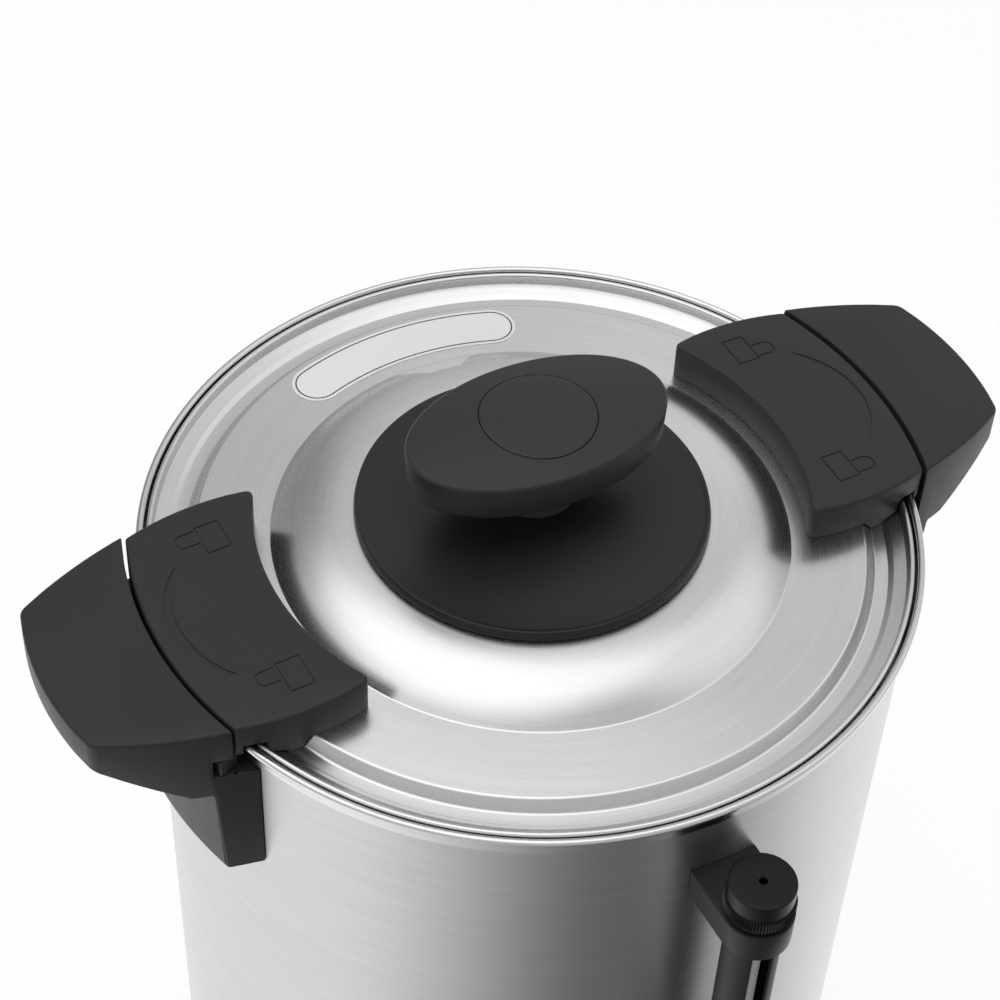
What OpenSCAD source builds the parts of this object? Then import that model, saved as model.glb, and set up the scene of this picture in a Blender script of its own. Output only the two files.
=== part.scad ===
// Double-wall coffee urn: brushed steel body, twist-lock lid, sight gauge, lever tap and percolator.
// Millimetres, +Z up. The origin is on the urn's axis, in the plane that its feet stand on.
// The tap and the gauge face -Y, the handles lie along X, and the power inlet faces +Y.

/* [Body] */
// Height of the rolled rim above the table
rim_h = 440; // [380:1:520]
// Outer radius of the outer shell
shell_r = 143.6; // [136:0.1:152]
// Sheet thickness of the outer shell
shell_t = 0.8; // [0.6:0.1:1.2]
// How far the rolled rim stands out from the shell
rim_out = 3.4; // [3:0.1:4.5]
// Radius of the rolled bead on the rim
bead_r = 1.5; // [1.2:0.1:1.8]
// Height of the collar between the shell's top edge and the rim
collar_h = 9.2; // [8.8:0.1:11]
// Air gap between the outer shell and the inner vessel
wall_gap = 7; // [6:0.5:9]
// Sheet thickness of the inner vessel
vessel_t = 0.8; // [0.6:0.1:1]
// Height of the vessel's floor above the table
floor_z = 122; // [118:1:130]
// Radius of the well under the pump foot
well_r = 37; // [36.5:0.5:42]
// Depth of the well
well_d = 6; // [4:0.5:8]

/* [Base] */
// Height of the base housing's upper edge
base_h = 88; // [84:1:92]
// Wall thickness of the base housing
base_t = 2.5; // [2:0.1:3.5]
// How far the housing spreads at its foot
base_flare = 2; // [0:0.5:4]
// Depth of the groove that the shell stands in
groove_d = 12; // [8:1:16]
// Thickness of the bottom cover
cover_t = 1.5; // [1:0.1:2.5]
// Distance of the feet's centres in from the shell
foot_inset = 25.6; // [20:0.1:38]
// Radius of a foot
foot_r = 12; // [10:0.5:15]
// Height of a foot
foot_h = 12; // [8:0.5:16]
// Radius of the foot's threaded stud
stud_r = 2.5; // [2:0.1:3]

/* [Control panel] */
// Width of the flat pad on the base
pad_w = 84; // [76:1:100]
// How far a flat pad stands out from the housing's top radius
pad_out = 4; // [3:0.5:6]
// Height of the switch and the lamps above the table
panel_z = 52; // [46:1:56]
// Width of the rocker
rocker_w = 16; // [12:0.5:20]
// Height of the rocker
rocker_h = 21; // [18:0.5:25]
// Angle between the rocker's two stops
rocker_throw = 16; // [10:1:20]
// Radius of the rocker's trunnions
trunnion_r = 1.5; // [1.2:0.1:2]
// Distance of each lamp from the switch
lamp_x = 27; // [22:1:32]
// Radius of a lamp's lens
lamp_r = 4.5; // [3:0.5:6]

/* [Power inlet] */
// Width of the inlet's flange
inlet_w = 50; // [48:1:56]
// Height of the inlet's flange
inlet_h = 24; // [22:0.5:28]
// Distance between the inlet's screws
inlet_pitch = 40; // [38:0.5:42]
// Width of the socket
socket_w = 24.6; // [24:0.2:25.4]
// Height of the socket
socket_h = 16.8; // [16:0.2:17.4]
// Depth of the socket
socket_d = 16; // [14:0.5:18]

/* [Heater] */
// Width of the ring heater
heater_w = 43.2; // [32:0.1:60]
// Thickness of the ring heater
heater_t = 6; // [4:0.5:8]
// Radius of the thermostat and the cut-out
stat_r = 9; // [7:0.5:11]
// Height of the thermostat
stat_h = 12; // [8:0.5:16]

/* [Lid] */
// Sheet thickness of the lid
lid_t = 0.8; // [0.6:0.1:1]
// Radius of the dome's flat seat
dome_seat_r = 64; // [60:0.5:68]
// Height of the dome above the lid's flat ring
dome_h = 11.3; // [8:0.1:14]
// How square the dome's shoulder is
dome_power = 2.6; // [1.8:0.1:4]
// Depth of the lid's flat ring below the rim
ring_drop = 3.3; // [2.8:0.1:4]
// Width of the lid's flat ring
ring_w = 28.3; // [25:0.1:32]
// Depth of the lid's channel below the rim
channel_drop = 7.6; // [7:0.1:7.8]
// Width of the slope down into the channel
channel_slope_w = 3.5; // [3:0.1:4.5]
// Width of the channel's floor
channel_w = 5; // [4:0.1:6]
// Width of the slope between the channel and the lid's edge
edge_slope_w = 4.9; // [4.6:0.1:5.5]
// Gap between the lid's edge and the rim collar
lid_gap = 0.4; // [0.3:0.1:0.8]
// Radius of the roll on the lid's edge
lid_roll_r = 1.2; // [1:0.1:1.3]
// Gap above and below the sealing ring
gasket_gap = 0.15; // [0.1:0.05:0.2]

/* [Steam vent] */
// Direction of the vent, measured from +Y towards +X
vent_angle = 4.5; // [0:0.5:10]
// Width of the vent's notch at the dome's edge
vent_w = 38; // [30:1:44]
// Width of the vent's slot
vent_slot_w = 11; // [8:0.5:14]
// Height of the vent's slot
vent_slot_h = 4.4; // [4.1:0.1:5]
// Depth of the vent's notch, in from the dome's edge
vent_depth = 12.7; // [9:0.1:16]

/* [Label] */
// Gap between the dome and the blank label
label_gap = 5.8; // [4:0.1:7]
// Width of the blank label
label_w = 20; // [16:0.5:21]
// Half of the label's angle, to the middle of its round ends
label_half_angle = 20; // [10:1:28]
// Thickness of the label
label_t = 0.3; // [0.2:0.1:0.5]

/* [Knob] */
// How far the knob's base reaches past the dome's flat seat
knob_base_over = 2.3; // [0:0.1:4]
// Height of the lip round the knob's base
knob_lip_h = 5; // [3:0.5:6]
// Height of the knob's base at its middle
knob_base_h = 11; // [8:0.5:14]
// Radius of the knob's neck
knob_neck_r = 17; // [14:0.5:22]
// Half of the grip's length
grip_a = 51; // [44:0.5:58]
// Half of the grip's width
grip_b = 30.7; // [26:0.5:36]
// Height of the grip's upper edge above the rim
grip_edge_z = 53.3; // [46:0.1:60]
// Thickness of the grip's edge
grip_t = 13; // [10:0.5:16]
// Rise of the grip's crown above its edge
grip_crown = 3.6; // [2:0.1:5]
// Radius of the disc let into the grip
disc_r = 21.3; // [16:0.1:24]
// Thickness of the disc
disc_t = 2; // [1.5:0.1:3]

/* [Lid ears and handles] */
// How far a lid ear reaches in over the lid's flat ring
ear_reach = 22.1; // [18:0.1:25]
// How far a lid ear stands out past the rim
ear_over = 2.8; // [2.4:0.1:3.2]
// Half of an ear's width at its ends
ear_half_w = 50.7; // [46:0.1:54]
// How far an ear's side bows out
ear_bow = 2.7; // [1:0.1:4]
// Height of an ear's top above the rim, at its inner edge
grip_top = 12.2; // [11:0.1:14]
// Fall of the tops of ears and handles, in degrees
top_fall = 1.8; // [0.5:0.1:3]
// Wall thickness of the moulded ears
ear_t = 3; // [2:0.1:4]
// Gap between an ear and its handle
ear_gap = 1.3; // [0.8:0.1:2]
// Clearance between an ear's skirt and the rim
skirt_gap = 0.5; // [0.4:0.1:0.8]
// How much narrower a handle is than the ear that it meets, on each side
wing_step = 0.2; // [0:0.1:1]
// How much narrower a handle is at its end corners, on each side
wing_taper = 16.5; // [10:0.5:22]
// How far a handle's end corners stand out past the rim
wing_l = 40.5; // [32:0.5:50]
// How far a handle's side bows out
wing_side_bow = 1.7; // [0.5:0.1:4]
// How far a handle's end bows out
wing_end_bow = 5; // [2:0.1:8]
// Depth of a handle's end
wing_end_h = 14; // [12:0.5:20]
// Depth of the handle's underside below the rim, where it meets the leg
wing_root_drop = 22.5; // [20:0.5:30]
// Depth of the leg's lower end below the rim
leg_drop = 66; // [62:1:90]
// Thickness of the leg at its lower end
leg_t = 11.9; // [8:0.1:14]
// How much thicker the leg is at its upper end
leg_lean = 2.1; // [0:0.1:4]

/* [Twist lock] */
// Depth of the slot's roof below the rim
slot_top_drop = 4; // [3.5:0.1:4.5]
// Depth of the slot's floor below the rim
slot_floor_drop = 12.5; // [12:0.1:14]
// How far the locking hook stands out past the ear
hook_l = 5.7; // [4.5:0.1:6.5]
// Clearance of the hook in its slot
hook_gap = 0.7; // [0.5:0.1:1]
// Clearance between the hook's end and the slot's end
hook_end_gap = 1.8; // [1:0.1:2.5]
// Angle from the handle's middle to the hook's inner end
hook_angle = 9.5; // [6:0.5:12]

/* [Sight gauge] */
// Distance of the gauge's axis from the shell
gauge_out = 22.9; // [21:0.1:27]
// Height of the gauge's cap below the rim
cap_drop = 17.7; // [12:0.1:20]
// Radius of the cap
cap_r = 11.9; // [10:0.1:13]
// Height of the cap above its knurled ring
cap_h = 8; // [6:0.5:10]
// How far the cap's knurled ring stands out from the cap
knurl_out = 0.9; // [0.6:0.1:2.5]
// Height of the knurled ring
knurl_h = 5.5; // [4:0.5:7]
// Radius of the cap's breather hole
breather_r = 1.5; // [1:0.1:2]
// How far the bracket's round end stands out from the knurled ring
bracket_out = 0.2; // [0.1:0.1:2.5]
// Height of the bracket
bracket_h = 12.5; // [11:0.5:16]
// Gap between the glass tube and its guard
guard_gap = 3.65; // [3:0.05:4.5]
// Wall thickness of the tube guard
guard_t = 1.6; // [1:0.1:2]
// Width of the guard's slot
guard_slot_w = 7.6; // [6:0.1:9]
// How far the guard's slot is turned from the front towards the left handle
guard_turn = 10; // [0:1:20]
// Outer radius of the glass tube
glass_r = 5; // [4.5:0.1:5.5]
// Wall thickness of the glass tube
glass_t = 1.2; // [0.8:0.1:1.5]

/* [Tap] */
// Height of the tap's shank above the table
tap_z = 148; // [144:1:152]
// Radius of the shank's thread
shank_r = 8; // [7:0.5:9]
// Wall thickness of the shank
shank_wall = 3; // [2.5:0.1:4]
// Wall thickness of the tee round the foot of the guard
tee_wall = 2.55; // [2:0.05:4]
// Distance of the valve's axis from the gauge's axis
valve_out = 37.5; // [34:0.5:46]
// Outer radius of the valve chamber
chamber_r = 14; // [13:0.5:16]
// Wall thickness of the valve chamber
chamber_wall = 4; // [3:0.5:5]
// Outer radius of the spout
spout_r = 8.5; // [8:0.5:10]
// Wall thickness of the spout
spout_wall = 2.5; // [2:0.5:3.5]
// Length of the spout below the chamber
spout_l = 22; // [14:1:34]
// Radius of the valve's stem
stem_r = 3; // [2.5:0.1:3.5]
// Running clearance of the stem and the pins
run_gap = 0.06; // [0.03:0.01:0.1]
// Radius of the lever's pin
pin_r = 2; // [1.5:0.1:2.4]
// Radius of the lever's cam
cam_r = 8.5; // [8:0.1:10]
// Offset of the cam from the pin
cam_off = 5; // [3:0.1:6]
// Clearance under the cam when the tap is shut
cam_gap = 0.3; // [0.2:0.1:0.5]
// Length of the lever above its pin
lever_l = 66; // [50:1:80]

/* [Percolator] */
// Outer radius of the pump tube
tube_r = 5.2; // [4.6:0.1:6]
// Wall thickness of the pump tube
tube_t = 0.8; // [0.5:0.1:1]
// Height of the pump tube's top above the vessel's floor
tube_l = 236; // [200:1:260]
// Gap between the pump's foot and the side of the well
pump_gap = 3; // [1:0.5:6]
// Height of the pump's foot
pump_h = 18; // [14:0.5:24]
// Radius of the coffee basket
basket_r = 58; // [46:1:80]
// Height of the coffee basket
basket_h = 74; // [60:1:90]
// Height of the basket's floor above the vessel's floor
basket_z = 138; // [120:1:150]
// Sheet thickness of the basket
basket_t = 0.8; // [0.6:0.1:1.2]
// Radius of the holes in the basket
hole_r = 1.4; // [1:0.1:1.8]

/* [Fasteners] */
// Radius of the handle and ear screws
screw_r = 2; // [1.5:0.1:2.2]
// Radius of their heads
screw_head_r = 3.8; // [3.2:0.1:4.2]
// Height of their heads
screw_head_h = 2.4; // [2:0.1:2.8]
// Clearance round a screw in a hole
screw_gap = 0.1; // [0.05:0.01:0.3]

/* [Hidden] */
$fn = 96;
clear = 0.2;            // between two pieces of one body that don't press together
far = 400;              // longer than any cut
past = 1;               // how far a cut runs past the face that it opens
drill = 16;             // length of a hole's cut through sheet metal

// body
rim_r = shell_r + rim_out;
collar_out = 0.8;
collar_r = shell_r + collar_out;
collar_in_r = collar_r - vessel_t;
vessel_r = shell_r - shell_t - wall_gap;
shell_top = rim_h - collar_h;
seat_z = shell_top + vessel_t;
floor_round = 12;

// base
shell_z = base_h - groove_d;
lip_t = 1.8;
ledge_w = 4;            // the shell stands on a ledge of this width
flare_h = 8;
cover_gap = 0.5;
foot_circle_r = shell_r - foot_inset;
foot_grip = 4;          // depth of the stud in its foot
base_in_r = shell_r + clear;
base_r = base_in_r + lip_t;
wall_in_r = base_r - base_t;
cover_r = wall_in_r - cover_gap;
pad_y = base_r + pad_out;
pad_half_h = 24;
post_r = 7;
post_h = 30;
rib_t = 3;
nut_r = 5;
nut_h = 4;
stud_z = foot_h - foot_grip;
stud_top = foot_h + cover_t + post_h + nut_h + 2;
base_screw_l = 6;

// heater
heater_gap = 1;
heater_in_r = well_r + vessel_t + heater_gap;
heater_r = heater_in_r + heater_w;
stat_flange_w = 3;
stat_flange_t = 1.5;

// controls and inlet
rocker_sink = 1.5;
rocker_y = pad_y - rocker_sink;
rocker_front = 4;
rocker_back = 4.5;
rocker_chamfer = 4;
rocker_gap = 0.3;
bezel_t = 2;
bezel_edge = 1.2;
switch_wall = 1.8;
switch_in_w = rocker_w + 2 * rocker_gap;
switch_in_h = rocker_h + 2;
switch_back_t = 2;
switch_w = switch_in_w + 2 * switch_wall;
switch_h = switch_in_h + 2 * switch_wall;
switch_d = 14;
pad_cut = 8;            // deeper than the pad's wall
lamp_d = 10;
lamp_edge = 0.8;
lamp_flange_t = 1;
lens_h = 2;
flange_t = 3;
socket_wall = 1.6;
inlet_body_w = socket_w + 2 * socket_wall;
inlet_body_h = socket_h + 2 * socket_wall;
blade_l = 11;
blade_w = 2;
blade_h = 4;
blade_pitch = 14;
blade_rise = 4;
blade_tail = 6;
inlet_screw_r = 1.5;
inlet_head_r = 2.8;
inlet_head_h = 1.6;
inlet_screw_l = 6;

// lid
ring_z = rim_h - ring_drop;
dome_z = ring_z + dome_h;
channel_z = rim_h - channel_drop;
lid_edge_r = collar_in_r - lid_gap;
ridge_w = 2;
ridge_h = 1;
edge_rise = 1.4;
roll_sink = 0.5;        // the edge roll's top lies this far below the rim
web_r = lid_edge_r - 2 * lid_roll_r + 0.1;
ridge_r = web_r - edge_slope_w;
channel_out_r = ridge_r - ridge_w;
channel_in_r = channel_out_r - channel_w;
ring_r = channel_in_r - channel_slope_w;
dome_r = ring_r - ring_w;
ridge_z = channel_z + ridge_h;
web_z = ridge_z + edge_rise;
roll_z = rim_h - lid_roll_r - roll_sink;
gasket_in_r = ridge_r + 0.6;
gasket_out_r = web_r - 0.5;
vent_r = dome_r - vent_depth;
label_in_r = dome_r + label_gap;
label_out_r = label_in_r + label_w;
dome_steps = 12;
knob_base_r = dome_seat_r + knob_base_over;
knob_screw_r = 3;
knob_head_r = 9;
knob_head_h = 3;
knob_thread_l = 16;
knob_chamfer = 1.5;
knob_draft = 0.8;
knob_lip_w = 2.2;
knob_lip_step = 0.6;
knob_top_over = 2;      // the cone's flat top reaches this far past the neck
knob_cone_power = 1.6;
knob_cone_steps = 10;
neck_waist = 1.5;
neck_waist_h = 4;
grip_z = rim_h + grip_edge_z;
grip_round = 3;
grip_flare_h = 9;
grip_flare_in = 5;      // the flare meets the underside this far inside the edge
grip_under_in = 3;
grip_draft = 0.8;
grip_bevel = 1.2;
grip_edge_in = 1;
disc_sink = 0.9;
disc_gap = 0.15;
disc_bevel = 0.2;
disc_crown = 0.8;
disc_z = grip_z + grip_crown - disc_t - disc_sink;
ear_in_r = ring_r - ear_reach;
ear_out_r = rim_r + ear_over;
boss_r = 5.5;
boss_inset = 11;
boss_at = ear_in_r + boss_inset;
boss_angle = 12;
screw_depth = 8;
head_sink = 0.6;
hole_gap = 0.3;         // clearance of a screw in sheet metal
ear_seat = 0.5;         // gap between an ear's underside and the lid's slopes

// lock
slot_roof = rim_h - slot_top_drop;
slot_floor = rim_h - slot_floor_drop;
wing_in_r = ear_out_r + ear_gap;
wing_in_half = ear_half_w - wing_step;
wing_out_half = wing_in_half - wing_taper;
wing_reach = rim_r + wing_l;
hook_r = ear_out_r + hook_l;
skirt_in_r = rim_r + skirt_gap;
slot_r = hook_r + hook_end_gap;
leg_in_r = shell_r + clear;
leg_r = shell_r + leg_t;
skirt_drop = 3.5;
skirt_z = rim_h - skirt_drop;
hook_top = slot_roof - hook_gap;
hook_bottom = slot_floor + hook_gap;
slot_play = 1.5;        // degrees between the hook and the slot's inner end
over_rim = 0.6;
edge_cut = 1;
handle_screw_end = 1.4;
handle_screw_drop = 34; // from the rim to a handle's upper screw
handle_screw_pitch = 24;
handle_screw_z = [rim_h - handle_screw_drop, rim_h - handle_screw_drop - handle_screw_pitch];

// gauge and tap
gauge_y = shell_r + gauge_out;
knurl_r = cap_r + knurl_out;
bracket_r = knurl_r + bracket_out;
guard_r = glass_r + guard_gap + guard_t;
cap_top = rim_h - cap_drop;
cap_neck_h = 2.5;
bracket_top = cap_top - cap_h - knurl_h - cap_neck_h;
bracket_z = bracket_top - bracket_h;
bracket_mid_z = bracket_z + bracket_h / 2;
bracket_root = 4;
bracket_screw_x = 8;
bracket_screw_l = 6;
spigot_wall = 3;
spigot_r = glass_r + spigot_wall;
cap_bore_r = glass_r + 0.6;
guard_seat = 3.5;
guard_end_gap = 0.3;
seal_seat = 2.6;
seal_gap = 0.1;
bracket_seal_z = bracket_z + guard_seat + 1;
glass_top = bracket_z + bracket_h - 2;
glass_stand = 4;        // from the shank's middle to the foot of the glass
glass_z = tap_z + glass_stand;
tee_drop = 12;
tee_rise = 18;
tee_top = tap_z + tee_rise;
valve_y = gauge_y + valve_out;
way_r = shank_r - shank_wall;
tee_r = guard_r + clear + tee_wall;
chamber_in_r = chamber_r - chamber_wall;
spout_in_r = spout_r - spout_wall;
bonnet_rise = 16;
bonnet_z = tap_z + bonnet_rise;
bonnet_h = 6;
bonnet_edge = 1.5;
chamber_drop = 9;
chamber_floor = tap_z - chamber_drop;
chamber_base_t = 6;
spout_top = chamber_floor - chamber_base_t;
cup_h = 7;
cup_base_t = 2;
cup_gap = 0.05;
cup_way = 1.5;          // way for the coffee round the cup
cup_r = chamber_in_r - cup_way;
cup_z = chamber_floor + 0.1;
plug_l = 7;
plug_gap = 0.05;
shank_reach = 10;       // how far the shank stands in the vessel
shank_end = vessel_r - shank_reach;
shank_gap = 0.4;        // clearance of the shank in the two walls
washer_t = 2;
washer_w = 5;
washer_r = shank_r + washer_w;
washer_seat = 0.7;      // the vessel's wall is curved, the washer is flat
tap_nut_w = 6;
tap_nut_r = shank_r + tap_nut_w;
tap_nut_t = 5;
tap_collar_t = 3.5;
collar_y = shell_r + clear + washer_t;
union_gap = 3;
union_y = gauge_y + tee_r + union_gap;
union_l = 4;
union_edge = 1.5;
arm_wall = 4.5;
arm_r = way_r + arm_wall;
wire_r = 0.6;
spring_out = 3.2;
spring_r = stem_r + spring_out;
spring_turns = 3.5;
pivot_z = bonnet_z + bonnet_h + cam_gap + cam_r;
tongue_t = 5;
tongue_top = 4;
tongue_gap = 0.25;
cheek_t = 4.2;
pin_inset = 0.4;
lever_slot_half = tongue_t / 2 + tongue_gap;
hub_half = lever_slot_half + cheek_t;
hub_front = 4;
hub_l = 11;
hub_h = 14;
bridge_h = 6;
stalk_base_r = 6;
stalk_waist_r = 5.2;
stalk_r = 6.5;
stalk_top_r = 8;
stalk_waist_z = 8;
stalk_shoulder = 20;

// percolator
well_z = floor_z - well_d;
pump_r = well_r - pump_gap;
pump_wall = 1;
pump_rim_h = 4;
pump_top_w = 6;         // flat top of the foot, round the tube
pump_grip = 4;          // the foot holds the tube over this height
pump_slope_t = 1.2;
pump_gate_h = 2.2;
tube_gap = 0.4;
tube_stand = 6;         // from the well's floor to the tube's lower end
tube_z = well_z + tube_stand;
tube_top = floor_z + tube_l;
basket_floor = floor_z + basket_z;
tube_collar_w = 4.8;
tube_collar_r = tube_r + tube_collar_w;
tube_collar_t = 3;
sleeve_t = 0.8;
hole_ring_r = 18;       // innermost ring of holes
hole_pitch = 10;
hole_margin = 8;
cover_skirt = 6;

// ---- helpers -------------------------------------------------------------------------------

// Centre of the arc that runs from p to q and bows out by s to the left of the way from p to q
function arc_centre(p, q, s) =
    let (d = q - p, l = norm(d), r = (l * l / 4 + s * s) / (2 * s), n = [-d[1], d[0]] / l)
    (p + q) / 2 - n * (r - s);

function arc_radius(p, q, s) = (pow(norm(q - p), 2) / 4 + s * s) / (2 * s);

// A disc whose edge is that arc
module arc_disc(p, q, s) {
    translate(arc_centre(p, q, s)) circle(r = arc_radius(p, q, s), $fn = 180);
}

// A flat ring between two heights
module ring(r_out, r_in, z0, z1) {
    translate([0, 0, z0]) tube(r_out, r_in, z1 - z0);
}

// A tube along +Z
module tube(r_out, r_in, h) {
    difference() {
        cylinder(r = r_out, h = h);
        translate([0, 0, -past]) cylinder(r = r_in, h = h + 2 * past);
    }
}

// Lays a shape built along +Z on the -Y side of the axis, pointing outwards
module to_front(y, z) {
    translate([0, -y, z]) rotate([90, 0, 0]) children();
}

// Lays a shape built along +Z on the +Y side of the axis, pointing outwards
module to_back(y, z) {
    translate([0, y, z]) rotate([-90, 0, 0]) children();
}

// Screw that points along +Z, with its head below z = 0
module screw(length) {
    cylinder(r = screw_r, h = length);
    translate([0, 0, -screw_head_h]) cylinder(r = screw_head_r, h = screw_head_h);
}

// ---- body ----------------------------------------------------------------------------------

// Brushed steel sleeve that forms the visible wall
module outer_shell() {
    color("silver") difference() {
        translate([0, 0, shell_z]) tube(shell_r, shell_r - shell_t, shell_top - shell_z);
        to_front(shell_r - drill / 2, tap_z) cylinder(r = shank_r + shank_gap, h = drill);
        for (x = [-1, 1]) translate([x * bracket_screw_x, 0, 0])
            to_front(shell_r - drill / 2, bracket_mid_z) cylinder(r = screw_r + hole_gap, h = drill);
        for (side = [0, 180], z = handle_screw_z) rotate([0, 0, side])
            translate([shell_r - drill / 2, 0, z]) rotate([0, 90, 0])
                cylinder(r = screw_r + hole_gap, h = drill);
        base_screw_places() translate([0, 0, -drill / 2]) cylinder(r = screw_r + screw_gap, h = drill);
    }
}

// Deep-drawn vessel with its collar and the rolled rim
module inner_vessel() {
    color("gainsboro") difference() {
        union() {
            rotate_extrude($fn = 180) polygon(concat(
                [[0, well_z], [well_r, well_z], [well_r, floor_z],
                 [vessel_r - vessel_t - floor_round, floor_z]],
                [for (a = [-75:15:0]) [vessel_r - vessel_t - floor_round * (1 - cos(a)),
                                       floor_z + floor_round * (1 + sin(a))]],
                [[vessel_r - vessel_t, seat_z], [collar_in_r, seat_z],
                 [collar_in_r, rim_h - bead_r], [collar_r, rim_h - bead_r],
                 [collar_r, shell_top + clear], [vessel_r, shell_top + clear]],
                [for (a = [0:-15:-90])
                 [vessel_r - (floor_round + vessel_t) * (1 - cos(a)),
                  floor_z + floor_round + (floor_round + vessel_t) * sin(a)]],
                [[well_r + vessel_t, floor_z - vessel_t], [well_r + vessel_t, well_z - vessel_t],
                 [0, well_z - vessel_t]]));
            rotate_extrude($fn = 180) translate([rim_r - bead_r, rim_h - bead_r]) circle(r = bead_r);
        }
        to_front(vessel_r - drill / 2, tap_z) cylinder(r = shank_r + shank_gap, h = drill);
    }
}

// ---- base ----------------------------------------------------------------------------------

// Puts a shape at each of the four feet
module foot_places() {
    for (a = [45:90:315]) rotate([0, 0, a]) translate([foot_circle_r, 0, 0]) children();
}

// Screws through the housing's lip into the shell, pointing inwards
module base_screw_places() {
    for (a = [45:90:315]) rotate([0, 0, a]) translate([base_r, 0, base_h - groove_d / 2])
        rotate([0, -90, 0]) children();
}

// A block that is centred on x = 0 and on a height, between two distances in front of the axis
module front_block(w, h, y0, y1, z) {
    translate([-w / 2, -y1, z - h / 2]) cube([w, y1 - y0, h]);
}

// The same behind the axis
module back_block(w, h, y0, y1, z) {
    translate([-w / 2, y0, z - h / 2]) cube([w, y1 - y0, h]);
}

// Moulded plastic base with a flat pad for the controls and one for the power inlet
module base_housing() {
    color("#2b2b2c") difference() {
        union() {
            difference() {
                union() {
                    rotate_extrude() polygon([[0, foot_h], [base_r + base_flare, foot_h],
                        [base_r + base_flare, foot_h + flare_h], [base_r, shell_z],
                        [base_r, base_h], [0, base_h]]);
                    front_block(pad_w, 2 * pad_half_h, 0, pad_y, panel_z);
                    back_block(pad_w, 2 * pad_half_h, 0, pad_y, panel_z);
                }
                translate([0, 0, foot_h - past])
                    cylinder(r = wall_in_r, h = shell_z - base_t - foot_h + past);
                translate([0, 0, foot_h]) cylinder(r = shell_r - ledge_w, h = base_h);
                translate([0, 0, shell_z]) cylinder(r = base_in_r, h = groove_d + past);
                front_block(pad_w - 2 * base_t, 2 * pad_half_h - 2 * base_t, 0, pad_y - base_t, panel_z);
                back_block(pad_w - 2 * base_t, 2 * pad_half_h - 2 * base_t, 0, pad_y - base_t, panel_z);
            }
            foot_places() translate([0, 0, foot_h + cover_t]) {
                cylinder(r = post_r, h = post_h);
                translate([0, -rib_t / 2, 0]) cube([wall_in_r + base_t / 2 - foot_circle_r, rib_t, post_h]);
            }
        }
        foot_places() translate([0, 0, foot_h]) cylinder(r = stud_r + screw_gap, h = post_h + cover_t + past);
        front_block(switch_w + 2 * clear, switch_h + 2 * clear, pad_y - pad_cut, pad_y + past, panel_z);
        for (x = [-lamp_x, lamp_x]) translate([x, 0, 0])
            to_front(pad_y - pad_cut, panel_z) cylinder(r = lamp_r - lamp_edge + clear, h = pad_cut + past);
        base_screw_places() translate([0, 0, -past]) cylinder(r = screw_r + screw_gap, h = drill / 2);
        back_block(inlet_body_w + 2 * clear, inlet_body_h + 2 * clear, pad_y - pad_cut, pad_y + past,
            panel_z);
        for (x = [-1, 1]) translate([x * inlet_pitch / 2, 0, 0])
            to_back(pad_y - pad_cut, panel_z) cylinder(r = inlet_screw_r + screw_gap, h = pad_cut + past);
    }
}

// Sheet steel cover that closes the base from below
module bottom_cover() {
    color("gray") translate([0, 0, foot_h]) difference() {
        cylinder(r = cover_r, h = cover_t);
        foot_places() translate([0, 0, -past]) cylinder(r = stud_r + screw_gap, h = cover_t + 2 * past);
    }
}

// Rubber feet
module feet() {
    color("#1c1c1c") foot_places() difference() {
        cylinder(r = foot_r, h = foot_h);
        translate([0, 0, stud_z]) cylinder(r = stud_r + screw_gap, h = foot_h);
    }
}

// Threaded studs that are moulded into the feet and hold the cover to the housing's posts
module foot_studs() {
    color("silver") foot_places() translate([0, 0, stud_z]) cylinder(r = stud_r, h = stud_top - stud_z);
}

// Nuts that hold the cover and the housing on the studs
module foot_nuts() {
    color("silver") foot_places() translate([0, 0, foot_h + cover_t + post_h]) difference() {
        cylinder(r = nut_r, h = nut_h, $fn = 6);
        translate([0, 0, -past]) cylinder(r = stud_r + screw_gap, h = nut_h + 2 * past);
    }
}

// Short screws that hold the housing's lip to the shell
module base_screws() {
    color("silver") base_screw_places() screw(base_screw_l);
}

// ---- heater --------------------------------------------------------------------------------

// Ring element clamped under the vessel's floor, round the well
module ring_heater() {
    color("dimgray") ring(heater_r, heater_in_r, floor_z - vessel_t - heater_t, floor_z - vessel_t);
}

// Snap-disc switch under the heater: a can with a flange
module snap_disc() {
    translate([0, 0, floor_z - vessel_t - heater_t]) mirror([0, 0, 1]) {
        cylinder(r = stat_r, h = stat_h);
        cylinder(r = stat_r + stat_flange_w, h = stat_flange_t);
    }
}

// Thermostat that keeps the coffee warm
module thermostat() {
    color("tan") translate([(heater_r + heater_in_r) / 2, 0, 0]) snap_disc();
}

// Cut-out that opens when the urn boils dry
module thermal_cutout() {
    color("ivory") translate([-(heater_r + heater_in_r) / 2, 0, 0]) snap_disc();
}

// ---- controls ------------------------------------------------------------------------------

// Three-pole inlet in the back of the base
module power_inlet() {
    color("#202020") difference() {
        union() {
            back_block(inlet_w, inlet_h, pad_y, pad_y + flange_t, panel_z);
            back_block(inlet_body_w, inlet_body_h, pad_y + flange_t - socket_d - socket_wall,
                pad_y + flange_t / 2, panel_z);
        }
        back_block(socket_w, socket_h, pad_y + flange_t - socket_d, pad_y + flange_t + past, panel_z);
        for (x = [-1, 1]) translate([x * inlet_pitch / 2, 0, 0])
            to_back(pad_y - past, panel_z) cylinder(r = inlet_screw_r + screw_gap, h = flange_t + 2 * past);
        blades(clear / 2);
    }
}

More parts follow.
